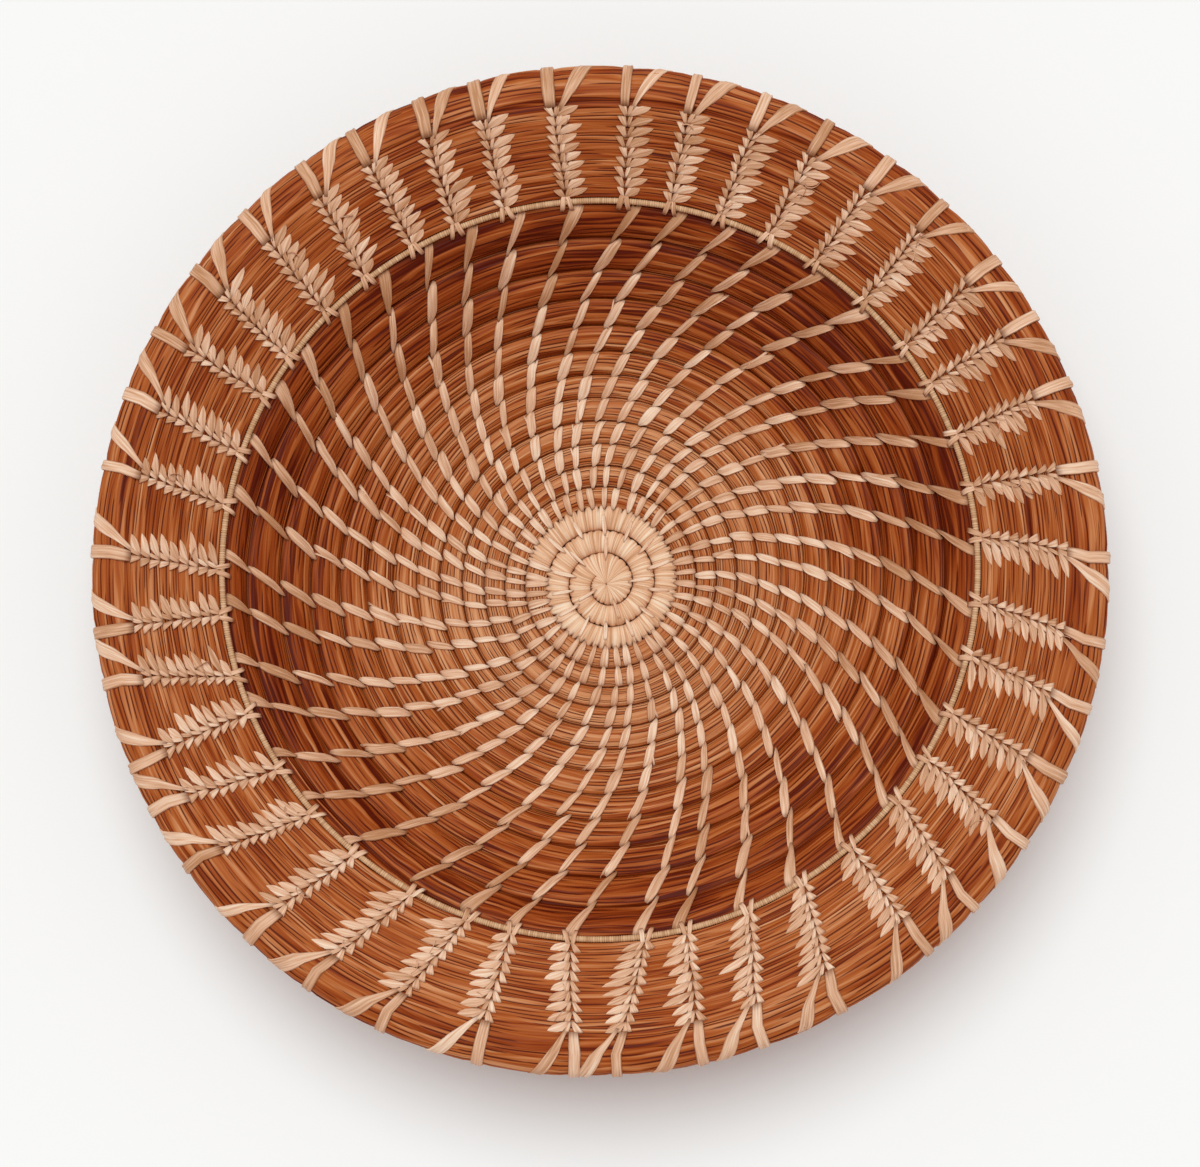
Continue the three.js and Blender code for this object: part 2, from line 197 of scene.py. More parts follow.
@dataclass(frozen=True)
class Winding:
    """How the bundle of needles winds, in plan and in side view.

    Loops are counted from where the full wrapping of the centre ends: below 0 the bundle is wrapped.
    """

    thickness: float = 6.6
    wrapped_pitch: float = 6.1
    bowl_pitch: float = 5.3
    pitch_growth: float = 0.12
    wrap_end_radius: float = 22.25
    wrapped_loops: float = 3.07
    floor_loops: float = 5.0
    lower_wall_loops: float = 3.6
    bowl_loops: float = 12.212
    tip_loops: float = 0.3
    tip_width_share: float = 0.3
    tip_height_share: float = 0.55
    wrap_end_angle: float = math.radians(165)
    floor_radius: float = 50.0
    wall_height: float = 31.0
    wall_curve: float = 1.7
    eye_radius: float = 0.12  # the first turn reaches in to the centre, and this is all that it leaves open
    # The bowl's edge was drawn into a slightly oval ring, and the loops gave way from here on.
    ring_radius: float = 100.4
    ring_oval: float = 1.04
    settle_from: float = 45.0
    settle_full: float = 96.0
    settle_reach: float = math.radians(14)
    settle_samples: int = 15
    length_samples: int = 4000

    def edge_radius(self, loop: Array) -> Array:
        """Outer edge of the bundle at a loop, before its end thins out and before it settles."""
        wrapped = self.wrap_end_radius + self.wrapped_pitch * loop
        bare = self.wrap_end_radius + self.bowl_pitch * loop + self.pitch_growth * loop * loop
        return np.where(loop < 0, wrapped, bare)

    def angle_of(self, loop: Array) -> Array:
        """Angle at which a loop number lies."""
        return self.wrap_end_angle + TURN * loop

    def thinned_edge(self, loop: Array) -> Array:
        """Outer edge of the bundle at a loop, with its thinned end."""
        inner = self.edge_radius(loop - 1)
        thinning = np.clip((loop - self.bowl_loops + self.tip_loops) / self.tip_loops, 0, 1)
        return inner + (self.edge_radius(loop) - inner) * blend(1.0, self.tip_width_share, thinning)

    def ring(self, angle: Array) -> Array:
        """Radius of the bowl's oval edge."""
        return self.ring_radius + self.ring_oval * np.cos(2 * angle)

    def settled(self, radius: Array, angle: Array) -> Array:
        """Moves a radius of the plain spiral to where the loop settled in the oval bowl.

        Args:
            radius: The radius in the plain spiral.
            angle: The angle there.

        Returns:
            The radius in the bowl.
        """
        shifts = np.linspace(-1, 1, self.settle_samples) * self.settle_reach
        edge = np.zeros_like(angle)
        for shift in shifts:
            turns = (self.angle_of(self.bowl_loops) - angle - shift) / TURN
            edge = edge + self.thinned_edge(self.bowl_loops - (turns - np.floor(turns))) / len(shifts)
        near = ease((radius - self.settle_from) / (self.settle_full - self.settle_from))
        return radius + (self.ring(angle) - edge) * near

    @property
    def edge_level(self) -> float:
        """Height of the bundle's middle at the bowl's edge."""
        return self.thickness / 2 + self.wall_height

    def mid_height(self, radius: Array, angle: Array) -> Array:
        """Height of the bundle's mid surface."""
        share = np.maximum(0, (radius - self.floor_radius) / (self.ring(angle) - self.floor_radius))
        return self.thickness / 2 + self.wall_height * share**self.wall_curve

    def sections(self, loop: Array) -> Sections:
        """The bundle's cross sections.

        Args:
            loop: The loop numbers at which they are wanted.

        Returns:
            The sections.
        """
        angle = self.angle_of(loop)
        raw_inner = np.where(loop < 1 - self.wrapped_loops, self.eye_radius, self.edge_radius(loop - 1))
        raw_outer = self.thinned_edge(loop)
        ends = []
        for radius in (raw_inner, raw_outer):
            settled = self.settled(radius, angle)
            ends.append(np.stack([settled, self.mid_height(settled, angle)], axis=-1))
        gap = ends[1] - ends[0]
        width = np.linalg.norm(gap, axis=-1)
        along = gap / width[..., None]
        thin = (raw_outer - raw_inner) / (self.edge_radius(loop) - raw_inner)
        height = self.thickness / 2 * blend(self.tip_height_share, 1.0, np.clip(thin, 0, 1))
        across = np.stack([-along[..., 1], along[..., 0]], axis=-1)
        return Sections(angle, (ends[0] + ends[1]) / 2, along, across, width / 2, height)

    def lengths(self, loop: Array) -> Array:
        """Length of the bundle from the start of the wrapping.

        Args:
            loop: The loop numbers up to which it is wanted.

        Returns:
            The lengths.
        """
        fine = np.linspace(-self.wrapped_loops, self.bowl_loops, self.length_samples)
        edge = self.edge_radius(fine)
        # The middle of the bundle lies half a pitch inside its edge, and near the centre less.
        radius = np.maximum(edge - self.wrapped_pitch / 2, np.minimum(0.9 * edge, 3.0))
        return np.interp(loop, fine, running_sum((radius[1:] + radius[:-1]) / 2 * TURN * np.diff(fine)))

    def loops_between(self, first: float, last: float, step: float) -> Array:
        """Loop numbers at equal steps of length.

        Args:
            first: The first loop number.
            last: The last one.
            step: About how long a step is.

        Returns:
            The loop numbers.
        """
        fine = np.linspace(first, last, self.length_samples // 2)
        lengths = self.lengths(fine)
        count = max(2, round((lengths[-1] - lengths[0]) / step))
        return np.interp(np.linspace(lengths[0], lengths[-1], count + 1), lengths, fine)


@dataclass(frozen=True)
class Lines:
    """The 42 lines of stitches: where each stands on the rim and how it swirls over the bowl."""

    # Clockwise from +Y at the foot of each fern, in degrees, as the maker set them.
    clock: tuple[float, ...] = (
        5.0, 12.4, 20.4, 28.4, 36.6, 45.9, 55.1, 62.2, 70.8, 79.2, 87.2, 97.0, 105.0, 114.0, 121.8, 129.6,
        139.2, 148.7, 158.0, 167.4, 174.3, 184.8, 194.2, 201.8, 211.2, 221.6, 230.7, 239.1, 248.1, 254.8,
        263.7, 270.8, 280.9, 289.1, 298.3, 305.6, 314.5, 322.6, 331.1, 338.5, 346.4, 355.9,
    )
    # How far each fern's head lies clockwise of its foot, in degrees.
    lean: tuple[float, ...] = (
        -0.1, 0.2, 0.5, 0.4, 0.4, -0.5, -0.8, -0.3, -0.4, 0.6, 2.1, 2.1, 1.8, 1.2, 1.8, 2.6, 1.0, 2.5, 2.6,
        1.0, 2.9, -0.9, 0.3, 2.8, 2.8, 1.6, 2.6, 2.0, -0.4, 1.9, -0.2, 1.1, 1.2, 1.4, 0.6, 1.2, 0.9, 1.3,
        0.2, 0.9, 0.2, -0.3,
    )
    spine_offset: float = math.radians(0.9)  # the spine lies beside the middle of its leaves
    foot_radius: float = 104.0
    head_radius: float = 119.7
    swirl: float = math.radians(0.372)
    swirl_from: float = 100.2
    # Some lines bunch together on the left, more so towards the centre.
    bunch_at: float = 31.0
    bunch_width: float = 2.6
    bunch_turn: float = math.radians(5.0)
    bunch_reach: float = 60.0
    bunch_back: float = 0.25  # the others give way by this share
    spine_end: float = 8.0  # this far beyond the fern's head the spine still leans

    @property
    def count(self) -> int:
        """How many lines there are."""
        return len(self.clock)

    def foot(self, line: Array | int) -> Array:
        """Angle of a line at the foot of its fern."""
        return TURN / 4 - np.radians(np.asarray(self.clock))[line]

    def at(self, line: int, radius: Array) -> Array:
        """Angle at which a line runs over the bowl.

        Args:
            line: The line's number.
            radius: The radii at which it is wanted.

        Returns:
            The angles.
        """
        inward = self.swirl_from - radius
        near = ease(inward / self.bunch_reach)
        drift = self.bunch_turn * near * (
            self.bunch_back - bell(np.asarray(line - self.bunch_at), self.bunch_width)
        )
        return self.foot(line) + self.swirl * inward + drift

    def spine(self, line: int, radius: Array) -> Array:
        """Angle of a fern's spine, which runs straight on over the head of the fern.

        Args:
            line: The line's number.
            radius: The radii of the rim at which it is wanted.

        Returns:
            The angles.
        """
        lean = math.radians(self.lean[line]) / (self.head_radius - self.foot_radius)
        straight = np.minimum(radius, self.head_radius + self.spine_end) - self.foot_radius
        return self.foot(line) + self.spine_offset - lean * straight

    def gap_to_line(self, angle: Array, radius: Array) -> Array:
        """How far places in the bowl lie from the nearest line.

        Args:
            angle: The angles of the places.
            radius: Their radii.

        Returns:
            The distances in millimetres.
        """
        feet = np.sort(np.mod(self.foot(np.arange(self.count)), TURN))
        ringed = np.concatenate([[feet[-1] - TURN], feet, [feet[0] + TURN]])
        turned = np.mod(angle - self.swirl * np.maximum(self.swirl_from - radius, 0), TURN)
        after = np.clip(np.searchsorted(ringed, turned), 1, len(ringed) - 1)
        nearest = np.minimum(turned - ringed[after - 1], ringed[after] - turned)
        return nearest * radius


# Meshes


def put_in_scene(name: str, data: bpy.types.ID) -> bpy.types.Object:
    """Makes an object and links it to the scene."""
    thing = bpy.data.objects.new(name, data)
    bpy.context.scene.collection.objects.link(thing)
    return thing


def new_piece(mesh: bpy.types.Mesh) -> bpy.types.Object:
    """Makes a smooth object of a mesh that is in millimetres, linked to the scene and at the origin."""
    mesh.transform(Matrix.Scale(MM, 4))
    mesh.polygons.foreach_set("use_smooth", [True] * len(mesh.polygons))
    return put_in_scene(mesh.name, mesh)


def flat(values: Array) -> Array:
    """Values in the form in which a mesh takes them."""
    return values.astype(np.float32).ravel()


def close_skin(mesh: bpy.types.Mesh, seams: bool) -> None:
    """Turns a mesh's faces outward.

    Args:
        mesh: The mesh.
        seams: Whether its seams are merged and its ends are filled first.
    """
    shell = bmesh.new()
    shell.from_mesh(mesh)
    if seams:
        bmesh.ops.remove_doubles(shell, verts=shell.verts, dist=SAME_POINT)
        bmesh.ops.holes_fill(shell, edges=[edge for edge in shell.edges if edge.is_boundary], sides=0)
    bmesh.ops.recalc_face_normals(shell, faces=shell.faces)
    shell.to_mesh(mesh)
    shell.free()


def wound_piece(name: str, points: Array, map_points: Array, gaps: Array) -> bpy.types.Object:
    """A closed skin through rows of points, from a grid whose seams are merged and whose ends are filled.

    Args:
        name: The piece's name.
        points: Points by columns round the section, rows along the piece and coordinates, in millimetres.
        map_points: The UV map named lanes, by columns, rows and the two coordinates.
        gaps: The attribute named gap, by columns and rows: 1 where a gap between two strands is painted dark, as
            shade, 0 outside.

    Returns:
        The piece.
    """
    columns, rows = points.shape[0] - 1, points.shape[1] - 1
    mesh = bpy.data.meshes.new(name)
    grid = bmesh.new()
    grid.loops.layers.uv.new("lanes")
    bmesh.ops.create_grid(grid, x_segments=rows, y_segments=columns, size=0.5, calc_uvs=True)
    grid.to_mesh(mesh)
    grid.free()
    mesh.vertices.foreach_set("co", flat(points))
    mesh.attributes.new("gap", "FLOAT", "POINT").data.foreach_set("value", flat(gaps))
    layer = mesh.uv_layers["lanes"].data
    unit = np.empty(len(mesh.loops) * 2, np.float32)
    layer.foreach_get("uv", unit)
    at = np.rint(unit.reshape(-1, 2) * (rows, columns)).astype(int)
    layer.foreach_set("uv", flat(map_points[at[:, 1], at[:, 0]]))
    close_skin(mesh, seams=True)
    return new_piece(mesh)


@dataclass(frozen=True)
class Strand:
    """A flat strand of raffia as it lies: rows of eight points round its section."""

    points: Array
    along: Array  # distance along the strand at each row
    width: Array  # half its width at each row
    tint: float  # from 0, dark, to 1, pale; painted shade lowers it at the top of the wall and on the rim's far side
    dive_shade: Array  # painted shade: 0 where the strand lies free, 1 where it dives in


# Round a strand's section: sideways share, and height share above (to 1) and below its middle. The corners
# of its flat top are creased, and two folds run between them.
SECTION_SIDE = np.array([1.0, 0.84, 0.3, -0.3, -0.84, -1.0, -0.55, 0.55])
SECTION_RISE = np.array([0.2, 1.0, 1.0, 1.0, 1.0, 0.2, -1.0, -1.0])
SECTION_FOLD = np.array([0.0, 0.0, 1.0, 1.0, 0.0, 0.0, 0.0, 0.0])
SECTION_POINTS = len(SECTION_SIDE)
CREASES = (1, 4)
FOLD_DEPTH = 0.4
TILT = 0.15  # a strand leans to one side by up to this share of its height
FIBRE_START = 90.0  # the fibres' pattern starts anywhere in this length


@dataclass(frozen=True)
class Lay:
    """How a strand lies, row by row, in the flat plan of what carries it, in millimetres."""

    path: Array  # sideways and onward places
    left: Array | float  # how far the left edge lies from the path
    right: Array | float
    top: Array | float  # height of the crest above the surface

    def section(self, depth: float, rng: Random) -> tuple[Array, Array, Array]:
        """The strand's form over the flat plan.

        Args:
            depth: How deep its underside lies below the surface.
            rng: The source of the random values.

        Returns:
            Sideways, onward and height values of rows by eight points.
        """
        step = np.gradient(self.path, axis=0)
        step /= np.linalg.norm(step, axis=1)[:, None]
        side = np.stack([step[:, 1], -step[:, 0]], axis=1)
        left, right, top = (np.reshape(value, (-1, 1)) for value in (self.left, self.right, self.top))
        offset = blend(-left, right, (SECTION_SIDE + 1) / 2)
        shape = SECTION_RISE + rng.uniform(-TILT, TILT) * SECTION_SIDE
        shape = shape + SECTION_FOLD * rng.uniform(-FOLD_DEPTH, FOLD_DEPTH, len(shape))
        rise = np.where(SECTION_RISE > 0, top * shape, -depth)
        return self.path[:, :1] + side[:, :1] * offset, self.path[:, 1:] + side[:, 1:] * offset, rise

    def strand(self, points: Array, tint: float, dive_shade: Array, rng: Random) -> Strand:
        """The strand, with the points that it has in space."""
        width = np.broadcast_to((self.left + self.right) / 2, len(self.path))
        return Strand(points, distances(self.path) + rng.uniform(0, FIBRE_START), width, tint, dive_shade)


def strand_template(rows: int) -> tuple[bpy.types.Mesh, Array]:
    """A plain strand.

    Args:
        rows: How many rows it has.

    Returns:
        The mesh, and for each of its vertices the place in rows by eight points.
    """
    shape = bmesh.new()
    bmesh.ops.create_cone(
        shape, cap_ends=True, cap_tris=False, segments=SECTION_POINTS, radius1=1, radius2=1, depth=1
    )
    sides = [edge for edge in shape.edges if abs(edge.verts[0].co.z - edge.verts[1].co.z) > 0.5]
    bmesh.ops.subdivide_edges(shape, edges=sides, cuts=rows - 2, use_grid_fill=True)
    places = np.array([vertex.co for vertex in shape.verts])
    row = np.rint((places[:, 2] + 0.5) * (rows - 1)).astype(int)
    turn = np.arctan2(places[:, 1], places[:, 0]) / TURN
    side = np.rint(turn * SECTION_POINTS).astype(int) % SECTION_POINTS
    for edge in shape.edges:
        first, second = (vertex.index for vertex in edge.verts)
        edge.smooth = not (row[first] != row[second] and side[first] in CREASES)
    mesh = bpy.data.meshes.new("strand")
    shape.to_mesh(mesh)
    shape.free()
    return mesh, row * SECTION_POINTS + side


def sewn_piece(name: str, strands: Sequence[Strand]) -> bpy.types.Object:
    """One piece of many strands.

    Args:
        name: The piece's name.
        strands: The strands.

    Returns:
        The piece, with the UV map named strand and two attributes: the strand's tint, and the painted shade
        where it dives in.
    """
    templates: dict[int, tuple[bpy.types.Mesh, Array]] = {}
    body = bmesh.new()
    places, maps, tints, dive_shade = [], [], [], []
    for strand in strands:
        rows = len(strand.points)
        if rows not in templates:
            templates[rows] = strand_template(rows)
        plain, order = templates[rows]
        body.from_mesh(plain)
        places.append(strand.points.reshape(-1, 3)[order])
        across = (strand.width[:, None] * SECTION_SIDE).ravel()
        maps.append(np.stack([np.repeat(strand.along, SECTION_POINTS), across], axis=1)[order])
        tints.append(np.full(len(order), strand.tint))
        dive_shade.append(np.repeat(strand.dive_shade, SECTION_POINTS)[order])
    mesh = bpy.data.meshes.new(name)
    body.to_mesh(mesh)
    body.free()
    for plain, _ in templates.values():
        bpy.data.meshes.remove(plain)
    mesh.vertices.foreach_set("co", flat(np.concatenate(places)))
    close_skin(mesh, seams=False)
    corners = np.empty(len(mesh.loops), np.int32)
    mesh.loops.foreach_get("vertex_index", corners)
    layer = mesh.uv_layers.new(name="strand")
    layer.data.foreach_set("uv", flat(np.concatenate(maps)[corners]))
    for label, values in (("tint", tints), ("dive_shade", dive_shade)):
        attribute = mesh.attributes.new(label, "FLOAT", "POINT")
        attribute.data.foreach_set("value", flat(np.concatenate(values)))
    return new_piece(mesh)


@dataclass(frozen=True)
class NeedleLanes:
    """Relief of a surface of parallel pine needles: one lane for each needle, and a valley between two."""

    lanes: int
    crest: float = 0.36
    wander: float = 0.42
    lift: float = 0.2
    shut: float = 0.8  # how far a valley is filled where two needles lie close
    wander_spans: tuple[float, ...] = (31.0, 74.0, 190.0)
    lift_spans: tuple[float, ...] = (28.0, 63.0, 140.0)
    shut_spans: tuple[float, ...] = (27.0, 71.0)
    phases: tuple[float, ...] = (0.0, 0.2, 0.5, 0.8)
    rises: tuple[float, ...] = (0.0, 0.8, 1.0, 0.8)

    def relief(self, places: Array, seed: int, around: float = 0.0) -> tuple[Array, Array, Array, Array]:
        """Where the needles run and how far they stand out.

        Args:
            places: Places along the needles, in millimetres.
            seed: Seed of the random values.
            around: The length after which the needles close on themselves, or 0.

        Returns:
            Four arrays of mesh columns by places: the place across in lanes, the height, the UV map and how
            far the place lies in an open gap.
        """
        rng = np.random.default_rng(seed)
        edges = slow_waves(rng, places, self.lanes, self.wander_spans, around) * self.wander
        lifts = slow_waves(rng, places, self.lanes, self.lift_spans, around)
        closed = ease(0.5 + 1.3 * slow_waves(rng, places, self.lanes, self.shut_spans, around))
        across, heights, marks, gaps = [], [], [], []
        for column in range(self.lanes * len(self.phases) + 1):
            turn, step = divmod(column, len(self.phases))
            lane, following = turn % self.lanes, (turn + 1) % self.lanes
            phase = self.phases[step]
            valley = step == 0
            rise = self.shut * closed[:, lane] if valley else self.rises[step]
            across.append(turn + phase + blend(edges[:, lane], edges[:, following], phase))
            heights.append(rise * (self.crest + self.lift * lifts[:, lane]))
            marks.append(turn + phase)
            gaps.append((1 - closed[:, lane]) * valley)
        map_points = np.stack(np.broadcast_arrays(places[None, :], np.array(marks)[:, None]), axis=-1)
        return np.array(across), np.array(heights), map_points, np.array(gaps)


# Finishes


def linear(code: str) -> tuple[float, float, float, float]:
    """Turns an sRGB hex colour to the linear values that a node wants."""
    shades = [int(code[at : at + 2], 16) / 255 for at in (1, 3, 5)]
    red, green, blue = (s / 12.92 if s <= 0.04045 else ((s + 0.055) / 1.055) ** 2.4 for s in shades)
    return red, green, blue, 1.0


def add_node(tree: Tree, kind: str, inputs: dict | None = None, **settings: object) -> bpy.types.Node:
    """Adds a node with its settings, and gives its inputs a value or a link from another node's output.

    Args:
        tree: The node tree.
        kind: The node's type, without the prefix ShaderNode.
        inputs: Values or output sockets, by the input's name or number.
        settings: The node's own properties.

    Returns:
        The node.
    """
    node = tree.nodes.new("ShaderNode" + kind)
    for key, value in settings.items():
        setattr(node, key, value)
    for key, value in (inputs or {}).items():
        if isinstance(value, Socket):
            tree.links.new(value, node.inputs[key])
        else:
            node.inputs[key].default_value = value
    return node


def add_up(tree: Tree, start: float, terms: Sequence[tuple[Socket, float]]) -> Socket:
    """Adds up weighted values.

    Args:
        tree: The node tree.
        start: What the sum starts from.
        terms: Each value with its weight.

    Returns:
        The sum.
    """
    total = start
    for value, weight in terms:
        total = add_node(tree, "Math", {0: value, 1: weight, 2: total}, operation="MULTIPLY_ADD").outputs[0]
    return total


@dataclass(frozen=True)
class Finish:
    """What the finishes share: a ramp of browns, a dark colour of painted shade that covers it in places, and
    fine relief.
    """

    name: str
    stops: Stops
    dark: str
    roughness: float
    shine: float
    relief: float
    relief_height: float

    def pattern(self, tree: Tree) -> tuple[Socket, Socket, Socket]:
        """Makes the finish's own nodes.

        Args:
            tree: The node tree.

        Returns:
            The place on the ramp, how far the dark colour of painted shade covers it, and the height of the
            fibres.
        """
        raise NotImplementedError

    def build(self) -> bpy.types.Material:
        """Makes the material.

        Returns:
            The material.
        """
        material = bpy.data.materials.new(self.name)
        material.use_nodes = True
        tree = material.node_tree
        shader = tree.nodes["Principled BSDF"]
        place, cover, fibres = self.pattern(tree)
        ramp = add_node(tree, "ValToRGB", {"Fac": place})
        elements = ramp.color_ramp.elements
        while len(elements) < len(self.stops):
            elements.new(0.5)
        for element, (spot, shade) in zip(elements, self.stops, strict=True):
            element.position, element.color = spot, linear(shade)
        inputs = {"Factor": cover, 6: ramp.outputs["Color"], 7: linear(self.dark)}
        colour = add_node(tree, "Mix", inputs, data_type="RGBA")
        bump = add_node(
            tree, "Bump", {"Height": fibres, "Strength": self.relief, "Distance": self.relief_height * MM}
        )
        tree.links.new(colour.outputs[2], shader.inputs["Base Color"])
        tree.links.new(bump.outputs["Normal"], shader.inputs["Normal"])
        shader.inputs["Roughness"].default_value = self.roughness
        shader.inputs["Specular IOR Level"].default_value = self.shine
        return material


@dataclass(frozen=True)
class DriedPineNeedles(Finish):
    """Dried long pine needles, side by side: waxy red-brown strands, with painted shade, maroon, in the gaps
    between them.
    """

    # The palest stop, reached at the peaks of the fibre streaks, stands partly for the needles' own pale streaks
    # and partly for painted highlights, since the needles shine little.
    stops: Stops = ((0.17, "#571503"), (0.36, "#923E12"), (0.57, "#B2612E"), (0.88, "#D89A6C"))
    # The colour of the painted shade between the needles, and in the grooves between the bowl's loops.
    dark: str = "#551504"
    roughness: float = 0.42
    shine: float = 0.07
    relief: float = 0.45
    relief_height: float = 0.25
    lit_spot: tuple[float, float] = (0.0, 0.0)  # the place round which the needles are painted palest, as light
    lit_reach: float = 40.0  # up to this distance from it they are
    shaded_from: float = 99.0  # beyond this one they are painted darkest, as shade
    light_and_shade: tuple[float, float] = (0.0, 0.0)  # what painted light and shade add at these two distances to the place on the ramp

    def streaks(
        self, tree: Tree, across: Sequence[tuple[Socket, float]], length: float, detail: float = 1.0
    ) -> Socket:
        """Noise that is drawn out along the needles.

        Args:
            tree: The node tree.
            across: Values with weights that add up to the place across the needles, in units of the noise.
            length: The length of a streak, in millimetres.
            detail: How many finer noises are added.

        Returns:
            The noise's value.
        """
        place = add_node(tree, "TexCoord").outputs["Object"]
        shift = add_node(tree, "CombineXYZ", {"Z": add_up(tree, 0.0, across)}).outputs[0]
        share = 1 / (length * MM)
        inputs = {0: place, 1: (share, share, 0.0), 2: shift}
        spot = add_node(tree, "VectorMath", inputs, operation="MULTIPLY_ADD").outputs[0]
        return add_node(tree, "TexNoise", {"Vector": spot, "Scale": 1.0, "Detail": detail}).outputs["Fac"]

    def shade(self, tree: Tree) -> Socket:
        """Painted light and shade: what a place's distance from the most lit place adds to its place on the
        ramp.

        Args:
            tree: The node tree.

        Returns:
            The value.
        """
        place = add_node(tree, "TexCoord").outputs["Object"]
        inputs = {0: place, 1: (1.0, 1.0, 0.0), 2: (-self.lit_spot[0] * MM, -self.lit_spot[1] * MM, 0.0)}
        way = add_node(tree, "VectorMath", inputs, operation="MULTIPLY_ADD").outputs[0]
        far = add_node(tree, "VectorMath", {0: way}, operation="LENGTH").outputs["Value"]
        inputs = {"Value": far, "From Min": self.lit_reach * MM, "From Max": self.shaded_from * MM}
        inputs |= {"To Min": self.light_and_shade[0], "To Max": self.light_and_shade[1]}
        return add_node(tree, "MapRange", inputs).outputs[0]

    def pattern(self, tree: Tree) -> tuple[Socket, Socket, Socket]:
        """Each needle has its own brown, and streaks run along it and cross over slowly."""
        lanes = add_node(tree, "UVMap", uv_map="lanes")
        lane = add_node(tree, "SeparateXYZ", {0: lanes.outputs["UV"]}).outputs["Y"]
        needle = add_node(tree, "Math", {0: lane}, operation="FLOOR").outputs[0]
        tone = self.streaks(tree, ((needle, 7.3),), 48.0)
        patch = self.streaks(tree, ((lane, 0.35),), 34.0)
        # The fibres are about 0.1 mm apart, drawn up to five times as coarse so that they show.
        fibres = self.streaks(tree, ((patch, 5.0), (lane, 1.7)), 38.0, detail=3.0)
        # The distance from the most lit place adds painted light and shade.
        place = add_up(tree, -0.57, ((tone, 0.8), (fibres, 1.1), (patch, 0.25), (self.shade(tree), 1.0)))
        gap = add_node(tree, "Attribute", attribute_name="gap").outputs["Fac"]
        # Only a clear gap between two needles is painted dark, as shade, and even there a little brown is left.
        cover = add_node(tree, "MapRange", {"Value": gap, "From Min": 0.06, "From Max": 0.46, "To Max": 0.92})
        return place, cover.outputs[0], fibres


@dataclass(frozen=True)
class SplitRaffia(Finish):
    """Split raffia palm leaf: flat satin strands of pale straw, with fine lengthwise fibres."""

    stops: Stops = ((0.1, "#B9835C"), (0.5, "#E1B291"), (0.85, "#F5D9BF"))
    # The colour of the painted shade where a strand dives in.
    dark: str = "#6E3616"
    roughness: float = 0.5
    shine: float = 0.15
    relief: float = 0.6
    relief_height: float = 0.2
    fibre: float = 0.4  # fibres are about 0.15 mm wide, drawn nearly three times as coarse so that they show
    streak_length: float = 9.0

    def pattern(self, tree: Tree) -> tuple[Socket, Socket, Socket]:
        """Each strand has its own tone, and painted shade darkens it where it dives between the needles and at
        its roots.
        """
        strand = add_node(tree, "UVMap", uv_map="strand").outputs["UV"]
        tint = add_node(tree, "Attribute", attribute_name="tint").outputs["Fac"]
        dive_shade = add_node(tree, "Attribute", attribute_name="dive_shade").outputs["Fac"]
        inputs = {0: strand, 1: (1 / self.streak_length, 1 / self.fibre, 0.0)}
        spot = add_node(tree, "VectorMath", inputs, operation="MULTIPLY").outputs[0]
        inputs = {"Vector": spot, "W": add_up(tree, 0.0, ((tint, 71.0),)), "Scale": 1.0, "Detail": 3.0}
        fibres = add_node(tree, "TexNoise", inputs, noise_dimensions="4D").outputs["Fac"]
        return add_up(tree, -0.45, ((fibres, 1.5), (tint, 0.4))), dive_shade, fibres


@dataclass(frozen=True)
class WoundRaffia(Finish):
    """Raffia wound closely round a core: pale satin turns with fine fibres, and painted shade between two turns
    and in the grooves.
    """

    stops: Stops = ((0.1, "#BF875D"), (0.5, "#E9B892"), (0.85, "#F6DBBE"))
    # The colour of the painted shade between the turns and in the grooves.
    dark: str = "#561A12"
    roughness: float = 0.5
    shine: float = 0.12
    relief: float = 0.5
    relief_height: float = 0.2
    fibres_per_turn: float = 4.0  # fewer than there are, so that they show

    def pattern(self, tree: Tree) -> tuple[Socket, Socket, Socket]:
        """The UV map counts the turns, so that each turn has its own tone."""
        lanes = add_node(tree, "UVMap", uv_map="lanes").outputs["UV"]
        count = add_node(tree, "SeparateXYZ", {0: lanes}).outputs["X"]
        turn = add_node(tree, "Math", {0: count}, operation="FLOOR").outputs[0]
        own = add_node(tree, "TexWhiteNoise", {"W": turn}, noise_dimensions="1D").outputs["Value"]
        inputs = {0: lanes, 1: (self.fibres_per_turn, 0.05, 0.0)}
        spot = add_node(tree, "VectorMath", inputs, operation="MULTIPLY").outputs[0]
        fibres = add_node(tree, "TexNoise", {"Vector": spot, "Scale": 1.0, "Detail": 3.0}).outputs["Fac"]
        gap = add_node(tree, "Attribute", attribute_name="gap").outputs["Fac"]
        return add_up(tree, -0.5, ((fibres, 1.8), (own, 0.25))), gap, fibres


def dress(piece: bpy.types.Object, finish: bpy.types.Material, slot: Slot, node: str) -> None:
    """Gives a piece its finish and its body, and lets it stand for the node that it replaces.

    Args:
        piece: The piece.
        finish: Its material.
        slot: Its material slot; not used.
        node: The node that it replaces.
    """
    piece.data.materials.append(finish)
    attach(piece, BODY)
    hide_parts(node)
    log.info("%s: %d faces", piece.name, len(piece.data.polygons))


# The coiled bowl


